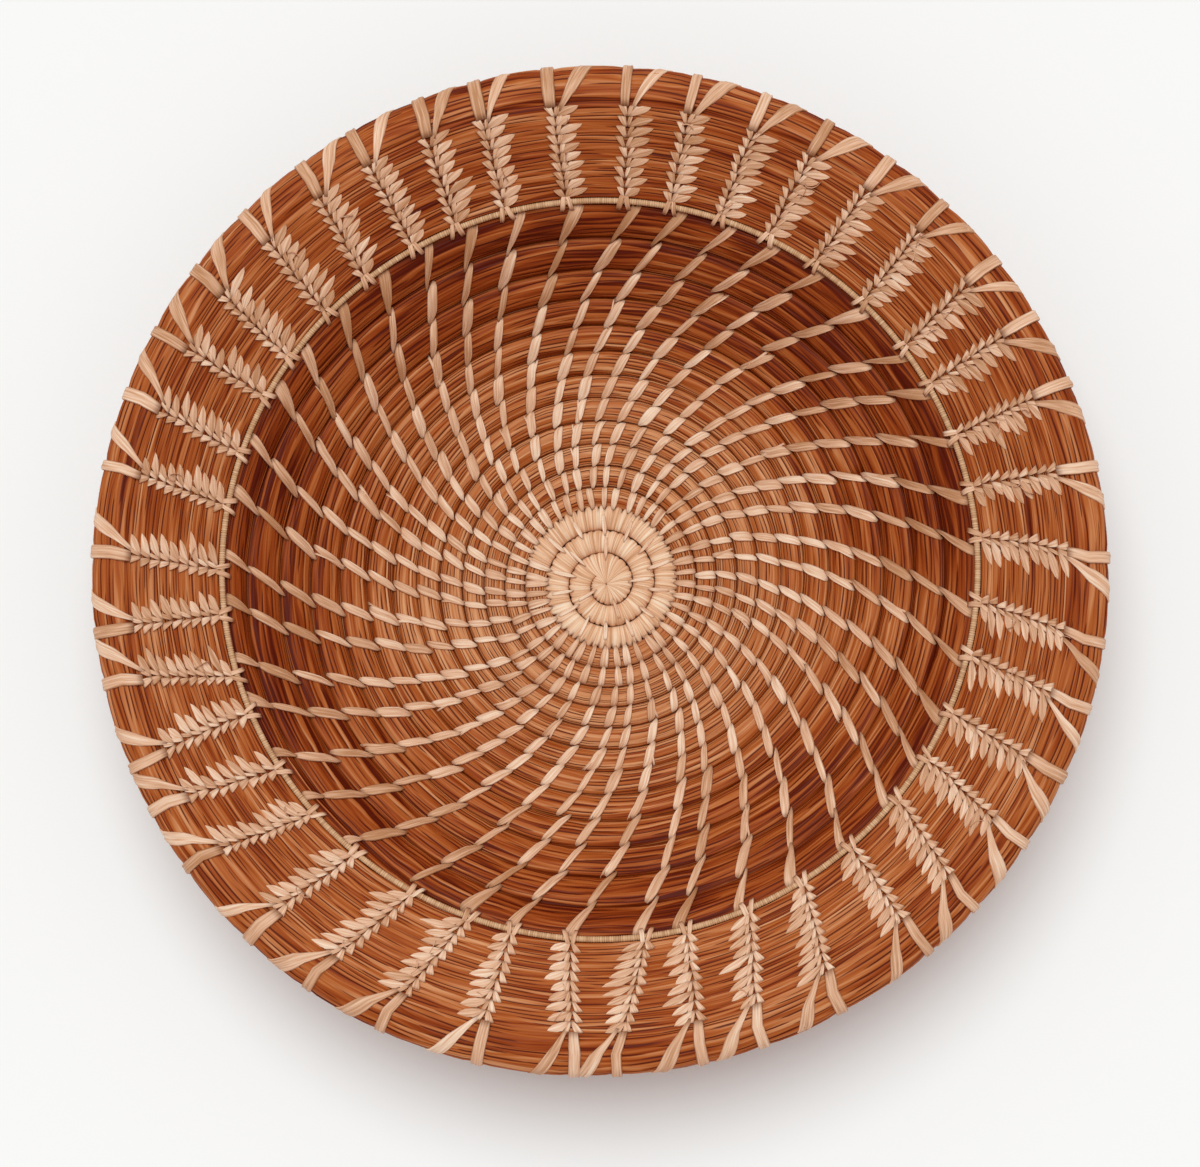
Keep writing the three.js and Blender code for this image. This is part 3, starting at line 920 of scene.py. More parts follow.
@dataclass(frozen=True)
class NeedleCoil:
    """The bare bundle of needles, in the stretches that the model's nodes have."""

    winding: Winding
    lines: Lines
    finish: DriedPineNeedles
    needles: NeedleLanes = NeedleLanes(22)
    row_step: float = 2.6
    side_roundness: float = 0.9
    top_roundness: float = 0.78
    foot_roundness: float = 0.6
    foot_lift: float = 0.35  # the bundle stands on the backs of its stitches
    press: float = 0.12  # how far a loop is pressed into its neighbour
    cinch: float = 0.35
    cinch_width: float = 1.8
    groove_shade: float = 0.4  # how dark the groove between two loops is painted, as shade
    groove_shade_from: float = 0.84  # where this painted shade begins, as a share of the way to the bundle's side
    seed: int = 11

    def stretch(self, name: str, first: float, last: float) -> bpy.types.Object:
        """Makes a stretch of the bundle.

        Args:
            name: The piece's name.
            first: The loop number at which it begins.
            last: The one at which it ends.

        Returns:
            The piece.
        """
        loops = self.winding.loops_between(first, last, self.row_step)
        across, rise, map_points, gaps = self.needles.relief(self.winding.lengths(loops), self.seed)
        place = self.winding.sections(loops)
        turn = TURN * across / self.needles.lanes - TURN / 4
        high = np.sin(turn)
        drawn = self.cinch * bell(self.lines.gap_to_line(place.angle, place.middle[:, 0]), self.cinch_width)
        stand = rise - self.needles.crest - np.where(high > 0, drawn, self.foot_lift)
        exponent = np.where(high > 0, self.top_roundness, self.foot_roundness)
        points = place.points_at(
            (place.half + stand * high**2 + self.press) * power(np.cos(turn), self.side_roundness),
            (place.height + stand) * power(high, exponent),
        )
        # The groove between two loops is painted dark, as shade.
        groove = ease((np.abs(np.cos(turn)) - self.groove_shade_from) / (1 - self.groove_shade_from))
        return wound_piece(name, points, map_points, np.maximum(gaps, self.groove_shade * groove))

    def build(self) -> None:
        """Makes and dresses the floor and the two parts of the wall."""
        material = self.finish.build()
        floor_end = self.winding.floor_loops
        wall_middle = floor_end + self.winding.lower_wall_loops
        for node, first, last in (
            ("floor_coil", 0.0, floor_end),
            ("lower_wall_coil", floor_end, wall_middle),
            ("upper_wall_coil", wall_middle, self.winding.bowl_loops),
        ):
            dress(self.stretch(f"needle_{node}", first, last), material, Slot.NEEDLES, node)


@dataclass(frozen=True)
class WrappedCentre:
    """The start of the coil, wound all round with raffia: a flat rosette whose turns pinch at its grooves."""

    winding: Winding
    finish: WoundRaffia
    columns: int = 28
    rows_in_turn: int = 7
    turn_width: float = 1.6
    least_turns: int = 24  # turns of raffia round the first loop, which spread like rays
    most_turns: int = 250
    samples: int = 3000
    width_spread: tuple[float, float] = (0.6, 1.4)
    bulk_spread: tuple[float, float] = (0.5, 1.3)
    turn_height: float = 0.1
    slant: float = 0.3
    press: float = 0.05
    pinch: float = 0.45
    outer_pinch: float = 1.15
    swell: float = 0.6  # the outermost wraps bulge over the first bare round
    groove_from: float = -3.1  # from this loop on, the turns lie in a round of their own
    inner_dot_shade: float = 0.25  # the painted shade of the dots in the inner grooves is lighter than that round the outside
    seed: int = 5

    def wraps(self) -> tuple[Array, Array]:
        """How the turns of raffia lie along the bundle.

        Returns:
            How many turns are laid at each row of the mesh, and the loop number of each row.
        """
        fine = np.linspace(-self.winding.wrapped_loops, 0.0, self.samples)
        pace = np.maximum(np.gradient(self.winding.lengths(fine), fine) / self.turn_width, self.least_turns)
        laid = running_sum((pace[1:] + pace[:-1]) / 2 * np.diff(fine))
        steps = np.linspace(0, laid[-1], round(laid[-1] * self.rows_in_turn))
        return steps, np.interp(steps, laid, fine)

    def build(self) -> None:
        """Makes and dresses the wrapped rounds."""
        rng = np.random.default_rng(self.seed)
        steps, loops = self.wraps()
        place = self.winding.sections(loops)
        edges = np.cumsum(rng.uniform(*self.width_spread, self.most_turns)) - 4
        bulks = rng.uniform(*self.bulk_spread, len(edges))
        turn = np.linspace(0, TURN, self.columns + 1)[:, None] + np.zeros_like(loops)
        side, high = np.cos(turn), np.sin(turn)
        outer_edge = ease((loops - self.groove_from) / 0.2)
        inner_edge = ease((loops - 1 - self.groove_from) / 0.2)
        grown = np.where(side < 0, inner_edge, outer_edge)
        count = np.interp(steps + self.slant * side * grown, edges, np.arange(len(edges)))
        bulk = bulks[np.floor(count).astype(int)]
        off_middle = np.abs(2 * (count - np.floor(count)) - 1)  # from 0 on a turn to 1 where two turns meet
        # The wraps pinch where they meet at the side, and the outermost ones bulge between these places.
        drawn = np.where(
            loops > -1, self.outer_pinch * off_middle**3 - self.swell, self.pinch * outer_edge * off_middle**3
        )
        drawn = drawn * ease((side - 0.55) / 0.45) * ease((high + 0.1) / 0.4)
        stand = self.turn_height * ((1 - off_middle**2.5) * bulk - 1)
        # In the rosette the turns stay high up to the centre, where they meet.
        shoulder = np.where(high > 0, blend(0.16, 0.6, grown), 0.65)
        points = place.points_at(
            (place.half + stand * grown * high**2 + self.press) * power(side, 0.9) - drawn,
            (place.height + stand) * power(high, shoulder),
        )
        # Painted shade: dark dots between the wraps near the grooves, and a dark band of uneven width in the
        # groove itself.
        outmost = (side > 0) & (loops > -1)
        near_groove = ease((np.abs(side) - 0.45) / 0.4) * grown
        dot_shade = blend(self.inner_dot_shade, np.where(outmost, 1.0, self.inner_dot_shade), near_groove)
        uneven = slow_waves(rng, steps, 1, (6.0, 15.0))[:, 0]
        groove_shade = (0.85 + 0.3 * uneven) * ease((np.abs(side) - 0.95 + 0.03 * uneven) / 0.05) * grown
        gaps = np.maximum(off_middle ** np.where(outmost, 5, 8) * dot_shade, groove_shade)
        map_points = np.stack([count, np.broadcast_to(turn / TURN * self.columns, count.shape)], axis=-1)
        piece = wound_piece("wrapped_centre", points, map_points, gaps)
        dress(piece, self.finish.build(), Slot.WRAPPING, "wrapped_centre_coil")


# The rim


@dataclass(frozen=True)
class Rim:
    """The broad band of needles round the bowl, which slopes up outward to a rolled edge.

    Places on its section are told by s, the distance from the band's inner corner over the top. Below 0, s
    leads back over the ring cord to the last coil.
    """

    winding: Winding
    lines: Lines
    finish: DriedPineNeedles
    inner: tuple[float, float] = (1.8, 1.85)  # the band's inner corner, along and across from the bowl's edge
    inner_foot: tuple[float, float] = (-2.2, -2.6)
    lead: tuple[tuple[float, float], ...] = (
        (-5.6, 3.3), (-3.4, 3.2), (-1.6, 2.9), (-0.3, 3.0), (0.8, 3.3), (1.7, 2.8),
    )
    outer_radius: float = 133.6
    thickness: float = 9.0
    rise: float = 14.0
    roll_width: float = 9.5
    crown: float = 0.5
    groove: float = 0.6  # a groove between the band and its rolled edge
    groove_width: float = 0.9
    groove_in: float = 0.6
    cinch: float = 0.4
    cinch_width: float = 2.2
    hidden_cinch: float = 0.3
    lanes: tuple[int, ...] = (29, 16, 14, 4)  # needles on the band, round the roll, below and at the foot
    steps: int = 360
    samples: int = 24
    seed: int = 23
    # Cosine and sine parts of how the outer edge wanders, clockwise from +Y, by how often they go round.
    waves: tuple[tuple[float, float], ...] = ((-0.37, -0.33), (-0.3, 0.02), (0.24, -0.35), (0.03, 0.17))

    def from_edge(self, along: float, across: float) -> tuple[float, float]:
        """Where a place lies that is told from the bowl's edge.

        Args:
            along: Its distance along the wall.
            across: Its distance off the wall's mid surface.

        Returns:
            Its radius and its height.
        """
        edge = self.winding.ring_radius
        steep = math.atan(
            self.winding.wall_height * self.winding.wall_curve / (edge - self.winding.floor_radius)
        )
        radius = edge + along * math.cos(steep) - across * math.sin(steep)
        return radius, self.winding.edge_level + along * math.sin(steep) + across * math.cos(steep)

    def outline(self) -> list[tuple[float, float]]:
        """Goes round the section: from the inner corner over the band, round the roll, back below and up.

        Returns:
            The radius and the height of the points, as many for each of the four parts.
        """
        top = self.winding.edge_level + self.rise
        centre = self.outer_radius - self.roll_width
        start, foot = self.from_edge(*self.inner), self.from_edge(*self.inner_foot)
        shares = np.linspace(0, 1, self.samples + 1)[1:]
        points = [start]
        for share in shares:
            bulge = self.crown * math.sin(math.pi * share)
            points.append((blend(start[0], centre, share), blend(start[1], top, share) + bulge))
        for turn in TURN / 4 - shares * TURN / 2:
            drop = self.thickness / 2 * (1 - math.sin(turn))
            points.append((centre + self.roll_width * math.cos(turn), top - drop))
        for first, last in ((points[-1], foot), (foot, start)):
            points += [(blend(first[0], last[0], share), blend(first[1], last[1], share)) for share in shares]
        return points

    @cached_property
    def table(self) -> Array:
        """Rows of s, radius, height and the way off the surface, from the lead on and round the section."""
        whole = np.array([*(self.from_edge(*place) for place in self.lead), *self.outline()])
        s = distances(whole)
        s -= s[len(self.lead)]
        slope = np.stack([np.gradient(whole[:, 0], s), np.gradient(whole[:, 1], s)], axis=1)
        slope /= np.linalg.norm(slope, axis=1)[:, None]
        return np.column_stack([s, whole, -slope[:, 1], slope[:, 0]])

    @property
    def ends(self) -> Array:
        """Values of s at the inner corner and where each part of the section ends."""
        return self.table[len(self.lead) + self.samples * np.arange(5), 0]

    def radius_at(self, s: Array) -> Array:
        """Radius of a place on the section."""
        return np.interp(s, self.table[:, 0], self.table[:, 1])

    def wander(self, radius: Array, angle: Array) -> Array:
        """How far the hand-made rim stands outside a true circle.

        Args:
            radius: The radii at which this is wanted.
            angle: The angles there.

        Returns:
            The distances.
        """
        clock = TURN / 4 - angle
        edge = sum(
            cosine * np.cos(count * clock) + sine * np.sin(count * clock)
            for count, (cosine, sine) in enumerate(self.waves, start=1)
        )
        ring = self.winding.ring_oval * np.cos(2 * angle)
        far = ease((radius - self.winding.ring_radius) / (self.outer_radius - self.winding.ring_radius))
        return blend(ring, edge, far)

    def surface(self, angle: Array, s: Array, lift: Array) -> Array:
        """Points at a height off the rim.

        Args:
            angle: Their angles.
            s: Their distances from the band's inner corner.
            lift: Their heights off the surface.

        Returns:
            The points, with coordinates on one more axis.
        """
        radius, level, out, up = (np.interp(s, self.table[:, 0], column) for column in self.table.T[1:])
        length = np.hypot(out, up)
        radius = radius + lift * out / length
        return round_axis(radius + self.wander(radius, angle), angle, level + lift * up / length)

    def gap_to_spine(self, angle: Array, radius: Array) -> Array:
        """How far places on the rim lie from the nearest fern's spine.

        Args:
            angle: The angles of the places.
            radius: Their radii.

        Returns:
            The distances.
        """
        gaps = np.full(np.broadcast(angle, radius).shape, FAR_OFF)
        for line in range(self.lines.count):
            off = np.mod(angle - self.lines.spine(line, radius) + TURN / 2, TURN) - TURN / 2
            gaps = np.minimum(gaps, np.abs(off) * radius)
        return gaps

    def build(self) -> None:
        """Makes and dresses the rim."""
        needles = NeedleLanes(sum(self.lanes), crest=0.36, lift=0.22)
        around = TURN * self.lines.head_radius
        places = np.linspace(0, around, self.steps + 1)
        across, rise, map_points, gaps = needles.relief(places, self.seed, around)
        s = np.interp(np.mod(across, needles.lanes), running_sum(self.lanes), self.ends)
        angle = np.broadcast_to(places / around * TURN, s.shape)
        seen = np.where((s > 0) & (s < self.ends[2] + 2), 1.0, self.hidden_cinch)
        drawn = self.cinch * bell(self.gap_to_spine(angle, self.radius_at(s)), self.cinch_width) * seen
        groove = self.groove * bell(s - self.ends[1] + self.groove_in, self.groove_width)
        points = self.surface(angle, s, rise - needles.crest - drawn - groove)
        piece = wound_piece("needle_rim_band", points, map_points, gaps)
        dress(piece, self.finish.build(), Slot.NEEDLES, "rim_band")


@dataclass(frozen=True)
class RingCord:
    """The thin cord in the corner between bowl and rim, wound closely with raffia."""

    rim: Rim
    finish: WoundRaffia
    place: tuple[float, float] = (1.02, 2.25)
    radius: float = 0.82
    ridge: float = 0.08
    pitch: float = 0.62  # the windings are about 0.4 mm apart, drawn coarser so that they show
    sides: int = 8
    # how dark the valleys between two windings are painted, as shade
    valley_shade: float = 0.3

    def build(self) -> None:
        """Makes and dresses the cord."""
        radius, level = self.rim.from_edge(*self.place)
        turns = round(radius * TURN / self.pitch)
        count = np.linspace(0, turns, turns * 3 + 1)
        angle = count / turns * TURN
        section = np.linspace(0, TURN, self.sides + 1)[:, None]
        valley = np.isclose(np.round(count), count) + 0 * section
        size = self.radius - self.ridge * valley
        out = radius + self.rim.winding.ring_oval * np.cos(2 * angle) + size * np.cos(section)
        points = round_axis(out, angle, level + size * np.sin(section))
        map_points = np.stack(np.broadcast_arrays(count[None, :], section / TURN * self.sides), axis=-1)
        piece = wound_piece("wound_ring_cord", points, map_points, self.valley_shade * valley)
        dress(piece, self.finish.build(), Slot.WRAPPING, "wrapped_cord")


# The sewing


class Seed(Enum):
    """Where the seeds of the lines' strands start, kind by kind."""

    INSIDE = 400
    OUTSIDE = 900
    FERN = 1300
    RING = 2100
    STRAPS = 3100
    CENTRE = 5200
    LOOSE = 7700


# Rows of a stitch as shares of the way from the loop's middle to its grooves, and how far its edges lie from
# its path, as shares of half its width. Near the centre it is a spindle, and the last one is a fan.
STITCH_ROWS = np.array([-1.2, -1.0, -0.72, -0.36, 0.08, 0.5, 0.82, 1.0])
STITCH_LEFT = np.array([0.75, 0.95, 1.0, 1.0, 0.98, 0.85, 0.35, -0.3])
STITCH_RIGHT = np.array([-0.4, 0.1, 0.75, 1.0, 1.02, 1.0, 0.95, 0.8])
STITCH_SPINDLE = np.array([0.45, 0.66, 0.88, 1.0, 1.04, 1.0, 0.88, 0.66])
STITCH_FAN = np.array([0.3, 0.42, 0.62, 0.85, 1.05, 1.15, 1.15, 1.0])
LONG_WIDTH = np.array([0.25, 0.7, 1.0, 1.05, 1.0, 0.9, 0.75, 0.5])
# Painted shade at the ends of a long stitch, where it dives in.
LONG_DIVE_SHADE = np.array([0.45, 0.1, 0, 0, 0, 0, 0, 0.1])
# Rows of the strands on the rim as shares of their length, their half widths and their heights there.
LEAF_ROWS = np.array([0.0, 0.2, 0.44, 0.68, 0.88, 1.0])
LEAF_OUT = np.array([0.3, 0.9, 1.6, 1.6, 1.0, 0.05])
LEAF_BACK = np.array([0.3, 0.66, 1.02, 1.08, 0.62, 0.0])
LEAF_TOP = np.array([0.6, 1.0, 1.1, 0.99, 0.7, 0.3])
SMALL_ROWS = np.array([0.0, 0.22, 0.46, 0.7, 0.88, 1.0])
SMALL_WIDTH = np.array([0.45, 0.8, 1.05, 1.1, 1.0, 1.0])
SMALL_TOP = np.array([0.75, 1.25, 1.375, 1.375, 1.25, 1.25])
STUB_WIDTH = np.array([0.38, 0.64, 0.9, 1.1, 1.25, 1.25])
STUB_TOP = 1.2 * SMALL_TOP
RING_ROWS = np.array([0.0, 0.2, 0.42, 0.64, 0.85, 1.0])
RING_WIDTH = np.array([0.8, 0.95, 1.0, 1.0, 0.9, 0.75])
RING_TOP = np.array([0.4, 1.4, 1.4, 1.4, 1.4, 1.4])


def run(start: tuple[float, float], reach: tuple[float, float], rows: Array) -> Array:
    """A straight path, with its rows at shares of its reach."""
    return np.array(start) + np.outer(rows, reach)


@dataclass(frozen=True)
class StitchLine:
    """A line of raffia: a stitch on every coil, the ring stitches, the fern and the straps over the edge."""

    winding: Winding
    lines: Lines
    rim: Rim
    line: int
    stitch_width: float = 2.9
    width_spread: tuple[float, float] = (0.78, 1.14)
    second_width: float = 0.84  # every second stitch is narrower
    stitch_slant: float = 1.3
    sway: float = 0.28  # how far the stitches stray to the side of their line, and turn
    swing: float = 0.15
    # The radius at which a change begins, the length that it takes, and the share that it begins with.
    widening: tuple[float, float, float] = (22.0, 30.0, 0.76)
    slanting: tuple[float, float, float] = (22.0, 22.0, 0.4)
    pointing: tuple[float, float] = (24.0, 14.0)
    wall_top_shading: tuple[float, float] = (52.0, 46.0)
    stitch_top: float = 0.34
    leaf_top: float = 0.3
    strap_top: float = 0.32
    depth: float = 0.3
    foot_lift: float = 0.3  # on the outside the strands are pressed into the needles by this much
    floor_gap: float = 0.02  # at least this much stays free under the stitches on which the basket stands
    bridge: float = 0.76  # how high a stitch crosses the groove on its inner side
    bridge_from: float = -0.6
    last_stitch: float = 0.015  # no stitch lies nearer to the bundle's end than this, in loops
    cut: float = 0.35  # within this length a cut end goes down into the needles
    rows: tuple[int, ...] = (9, 9, 10)
    first_row: float = 0.4
    fern_end: float = 24.7
    row_spread: float = 0.06
    row_shift: float = 0.14
    leaf_reach: tuple[float, float] = (6.1, 1.0)  # its middle and its spread
    first_leaf: float = 0.85  # the first leaf is shorter
    small_reach: tuple[float, float] = (0.9, 1.7)
    stub_reach: tuple[float, float] = (1.1, 1.9)
    ring_foot: float = -4.2  # where the strands over the cord begin, on the last coil
    ring_ends: tuple[float, float] = (1.0, 0.5)  # how far into the first row they run, and are seen
    strap_width: float = 3.5
    strap_reach: tuple[float, float] = (16.5, 19.5)  # how far the slanting strap leads to the next column
    strap_hidden: float = 3.0  # how far the straps run on below the band
    split_share: float = 0.14
    strap_split_share: float = 0.3
    # Some lines reach back over a groove of the centre: from which loop on, every which line, and which.
    long_stitches: tuple[tuple[float, int, int], ...] = ((-1.0, 3, 0), (-2.0, 9, 4))
    tints: tuple[float, float] = (0.1, 1.0)
    dull: float = 0.24  # raffia on the rim is duller than that on the floor, and on the far side it is painted darker still, as shade
    far_side_shade: float = 0.15
    wall_top_shade: float = 0.65  # and painted shade makes that at the top of the wall the darkest

    def rng(self, seed: Seed) -> Random:
        """The line's own source of random values for one kind of strand."""
        return np.random.default_rng(seed.value + self.line)

    def crossings(self, first: float, last: float) -> Array:
        """Where the line crosses the bundle.

        Args:
            first: The loop number from which on this is wanted.
            last: The one before which it ends.

        Returns:
            The loop numbers of the crossings, from the centre outward.
        """
        rounds = np.arange(-6.0, 18.0)
        loops = rounds
        for _ in range(6):
            radius = self.winding.edge_radius(loops) - self.winding.bowl_pitch / 2
            loops = rounds + (self.lines.at(self.line, radius) - self.winding.wrap_end_angle) / TURN
        return loops[(loops >= first) & (loops < last)]

    def over_coil(self, loop: float, lay: Lay, face: Face, bridge: float, rng: Random) -> Strand:
        """A strand over one loop of the bundle.

        Args:
            loop: The loop number.
            lay: How it lies: clockwise from the line, and outward from the loop's middle.
            face: The face of the wall.
            bridge: Height share at which it crosses the groove on its inner side.
            rng: The source of the random values.

        Returns:
            The strand.
        """
        place = self.winding.sections(np.array([loop]))
        half, height, radius = float(place.half[0]), float(place.height[0]), float(place.middle[0, 0])
        sideways, onward, rise = lay.section(self.depth, rng)
        # The needles' section below the strand, which is flatter and lower on the outside.
        fullness, shoulder, sunk = (2.6, 0.42, 0.0) if face is Face.INSIDE else (3.2, 0.5, self.foot_lift)
        crest = (1 - np.minimum(np.abs(onward / half), 1.0) ** fullness) ** shoulder
        bridged = np.where(onward / half < self.bridge_from, bridge, 0.0)
        surface = (height - sunk) * np.maximum(crest, bridged)
        points = place.points_at(onward, (surface + rise) * face.value, place.angle[0] - sideways / radius)
        # Painted shade darkens the strand where it dives into the grooves between loops.
        dive_shade = 0.5 * ease((np.abs(lay.path[:, 1] / half) - 0.82) / 0.3)
        # Towards the top of the wall the stitches are painted darker, as shade.
        tint = rng.uniform(*self.tints) - self.wall_top_shade * soft_share(radius, *self.wall_top_shading)
        # Under the floor the strands are pressed flat, no two of them quite in one plane.
        points[..., 2] = np.maximum(points[..., 2], self.floor_gap * (1 + 3 * abs(tint)))
        return lay.strand(points, tint, dive_shade, rng)

    def coil_strands(self, face: Face) -> Iterator[Strand]:
        """Lays the stitches over the coils. Some have split, and a fibre lies beside them.

        Args:
            face: The face of the wall.

        Yields:
            The strands.
        """
        rng = self.rng(Seed.INSIDE if face is Face.INSIDE else Seed.OUTSIDE)
        for number, loop in enumerate(self.crossings(0.0, self.winding.bowl_loops - self.last_stitch)):
            place = self.winding.sections(np.array([loop]))
            half, radius = float(place.half[0]), float(place.middle[0, 0])
            broad = self.stitch_width / 2 * rng.uniform(*self.width_spread)
            broad *= soft_share(radius, *self.widening)
            broad *= self.second_width if (number + self.line) % 2 else 1.0
            slope = self.stitch_slant * self.lines.swirl * radius * float(place.along[0, 0])
            slope *= soft_share(radius, *self.slanting)
            sway, swing = rng.normal(0, self.sway), rng.normal(0, self.swing)
            path = run((sway, 0.0), (slope * half + swing, half), STITCH_ROWS)
            # Near the centre the ends are as wide as the stitch. Further out they run to a point on one side.
            blunt = 1 - soft_share(radius, *self.pointing)
            left, right = (broad * blend(edge, STITCH_SPINDLE, blunt) for edge in (STITCH_LEFT, STITCH_RIGHT))
            if loop > self.winding.bowl_loops - 1:
                left = right = broad * STITCH_FAN
            lay = Lay(path, left, right, self.stitch_top)
            yield self.over_coil(loop, lay, face, self.bridge, rng)
            if rng.uniform() < self.split_share and blunt < 0.5:
                apart = rng.choice([-1.0, 1.0]) * broad * (0.5 + 0.75 * (STITCH_ROWS + 0.2))
                thin = rng.uniform(0.22, 0.4)
                lay = Lay(path + np.outer(apart, (1.0, 0.0)), thin, thin, self.stitch_top)
                yield self.over_coil(loop, lay, face, self.bridge, rng)

    def centre_strands(self) -> Iterator[Strand]:
        """Lays the long stitches with which some lines reach back over a groove of the wrapped centre.

        Yields:
            The strands.
        """
        rng = self.rng(Seed.CENTRE)
        for groove, every, offset in self.long_stitches:
            loops = self.crossings(groove, groove + 1.0)
            if self.line % every != offset or not len(loops):
                continue
            loop = float(loops[0])
            half = float(self.winding.sections(np.array([loop])).half[0])
            rows = np.linspace(-1.0 - rng.uniform(0.4, 0.75), rng.uniform(0.1, 0.7), len(LONG_WIDTH))
            path = run((rng.normal(0, 0.3), 0.0), (rng.normal(0, 0.25), half), rows)
            slim = rng.uniform(0.5, 0.75) * LONG_WIDTH
            strand = self.over_coil(loop, Lay(path, slim, slim, self.stitch_top), Face.INSIDE, 1.0, rng)
            yield replace(strand, dive_shade=LONG_DIVE_SHADE, tint=rng.uniform(0.6, 1.1))

    def on_rim(self, lay: Lay, stop: float, rng: Random) -> Strand:
        """A strand that lies on the rim.

        Args:
            lay: How it lies: clockwise from the spine, and s.
            stop: The value of s at which it is cut off and dives between two needles.
            rng: The source of the random values.

        Returns:
            The strand.
        """
        sideways, s, rise = lay.section(self.depth, rng)
        sunk = np.clip((s - stop) / self.cut, 0, 1)
        s = np.minimum(s, stop)
        radius = self.rim.radius_at(s)
        angle = self.lines.spine(self.line, radius) - sideways / radius
        points = self.rim.surface(angle, s, blend(rise, -self.depth, sunk))
        # Painted shade darkens the strand at its root, where it comes from under the row before, and at a cut
        # end that dives in.
        dive_shade = 0.6 * np.maximum(bell(np.arange(len(s)), 0.7), 0.5 * sunk[:, 2:4].mean(axis=1))
        # On the far side of the rim the strands are painted darker, as shade.
        far = math.sin(float(self.lines.foot(self.line)))
        tint = rng.uniform(*self.tints) - self.dull - self.far_side_shade * far
        return lay.strand(points, tint, dive_shade, rng)

    def fern_strands(self) -> Iterator[Strand]:
        """Lays the rows of leaves on the band. All leaves of a row are cut off along the same needle.

        Yields:
            The strands.
        """
        rng = self.rng(Seed.FERN)
        rows = self.rows[self.line % len(self.rows)]
        pitch = (self.fern_end - self.first_row) / rows
        for row in range(rows):
            root = self.first_row + pitch * row + rng.normal(0, self.row_spread)
            stop = self.first_row + pitch * (row + 1) + rng.normal(0, self.row_spread)
            rise = stop - root
            shift = rng.normal(0, self.row_shift)
            # The long leaf, which widens up to the needle and runs along it to its tip.
            reach = rng.normal(*self.leaf_reach) * (self.first_leaf if row == 0 else 1.0)
            path = run((shift + 0.3, root), (reach, rise - 0.08), LEAF_ROWS)
            back = LEAF_BACK * rng.uniform(0.8, 1.15)
            yield self.on_rim(Lay(path, LEAF_OUT, back, self.leaf_top * LEAF_TOP), stop, rng)
            # The small leaf beside the spine.
            path = run((shift + 0.2, root - 0.1), (rng.uniform(*self.small_reach), rise + 0.6), SMALL_ROWS)
            slim = rng.uniform(0.46, 0.66) * SMALL_WIDTH
            yield self.on_rim(Lay(path, slim, slim, self.leaf_top * SMALL_TOP), stop, rng)
            # The stub on the other side.
            path = run((shift - 0.2, root - 0.2), (-rng.uniform(*self.stub_reach), rise + 0.7), SMALL_ROWS)
            wide = rng.uniform(0.75, 1.05) * STUB_WIDTH
            yield self.on_rim(Lay(path, wide, wide * 0.95, self.leaf_top * STUB_TOP), stop, rng)

    def ring_strands(self) -> Iterator[Strand]:
        """Lays the narrow pair that crosses the ring cord from the last coil, as a V.

        Yields:
            The strands.
        """
        rng = self.rng(Seed.RING)
        for side in (-1, 1):
            start = side * rng.uniform(1.3, 2.0)
            end, seen_end = (self.first_row + share for share in self.ring_ends)
            path = run((start, self.ring_foot), (side * 0.35 - start, end - self.ring_foot), RING_ROWS)
            slim = rng.uniform(0.6, 0.8) * RING_WIDTH
            yield self.on_rim(Lay(path, slim, slim, self.leaf_top * RING_TOP), seen_end, rng)

    def strap_strands(self) -> Iterator[Strand]:
        """Lays the two straps over the rolled edge: one straight and one slanting to the next column.

        Yields:
            The strands.
        """
        rng = self.rng(Seed.STRAPS)
        share = np.linspace(0, 1, 16)
        last = self.rim.ends[2] + self.strap_hidden
        bend = rng.uniform(0.85, 1.2)
        sideways = rng.normal(-0.5, 0.2) + rng.normal(0.3, 0.5) * share
        straight = np.stack([sideways, blend(self.fern_end - 0.1, last, share)], axis=1)
        half = self.strap_width / 2 * rng.uniform(0.78, 1.1) * blend(0.82, 1.0, ease(share / 0.15))
        sideways = 1.3 + rng.uniform(*self.strap_reach) * share**bend
        slanted = np.stack([sideways, blend(self.fern_end - 1, last, share)], axis=1)
        other = self.strap_width / 2 * rng.uniform(0.85, 1.2) * blend(0.32, 1.0, ease(share / 0.34))
        yield self.on_rim(Lay(slanted, other, other, self.strap_top), FAR_OFF, rng)
        yield self.on_rim(Lay(straight, half, half, self.strap_top * 1.4), FAR_OFF, rng)
        if rng.uniform() < self.strap_split_share:  # a part of this strap goes its own way
            thin = rng.uniform(0.35, 0.6)
            apart = rng.uniform(1.2, 2.4) * share
            aside = slanted + np.outer(apart * rng.choice([-1.0, 1.0]), (1.0, 0.0))
            yield self.on_rim(Lay(aside, thin, thin, self.strap_top * 1.2), FAR_OFF, rng)

    def loose_fibres(self) -> Iterator[Strand]:
        """Lays a few thin fibres that have come loose from the leaves.

        Yields:
            The strands.
        """
        rng = self.rng(Seed.LOOSE)
        share = np.linspace(0, 1, 7)
        half = 0.09
        for _ in range(rng.integers(0, 3)):
            start, way, length = rng.uniform(3, 24), rng.uniform(0, TURN), rng.uniform(2.0, 4.5)
            curl = way + rng.uniform(-1.2, 1.2) * share
            gone = length * share
            path = np.stack([2.0 + gone * np.cos(curl), start + gone * np.sin(curl)], axis=1)
            yield self.on_rim(Lay(path, half, half, 0.5 + 0.7 * share), FAR_OFF, rng)

    def build(self, material: bpy.types.Material) -> None:
        """Makes and dresses the line.

        Args:
            material: Its finish, which all lines share.
        """
        strands = [*self.centre_strands()]
        for face in Face:
            strands += self.coil_strands(face)
        strands += [*self.ring_strands(), *self.fern_strands(), *self.strap_strands(), *self.loose_fibres()]
        piece = sewn_piece(f"raffia_line_{self.line + 1:02d}", strands)
        dress(piece, material, Slot.RAFFIA, f"stitch_line_{self.line + 1:02d}")


# The studio


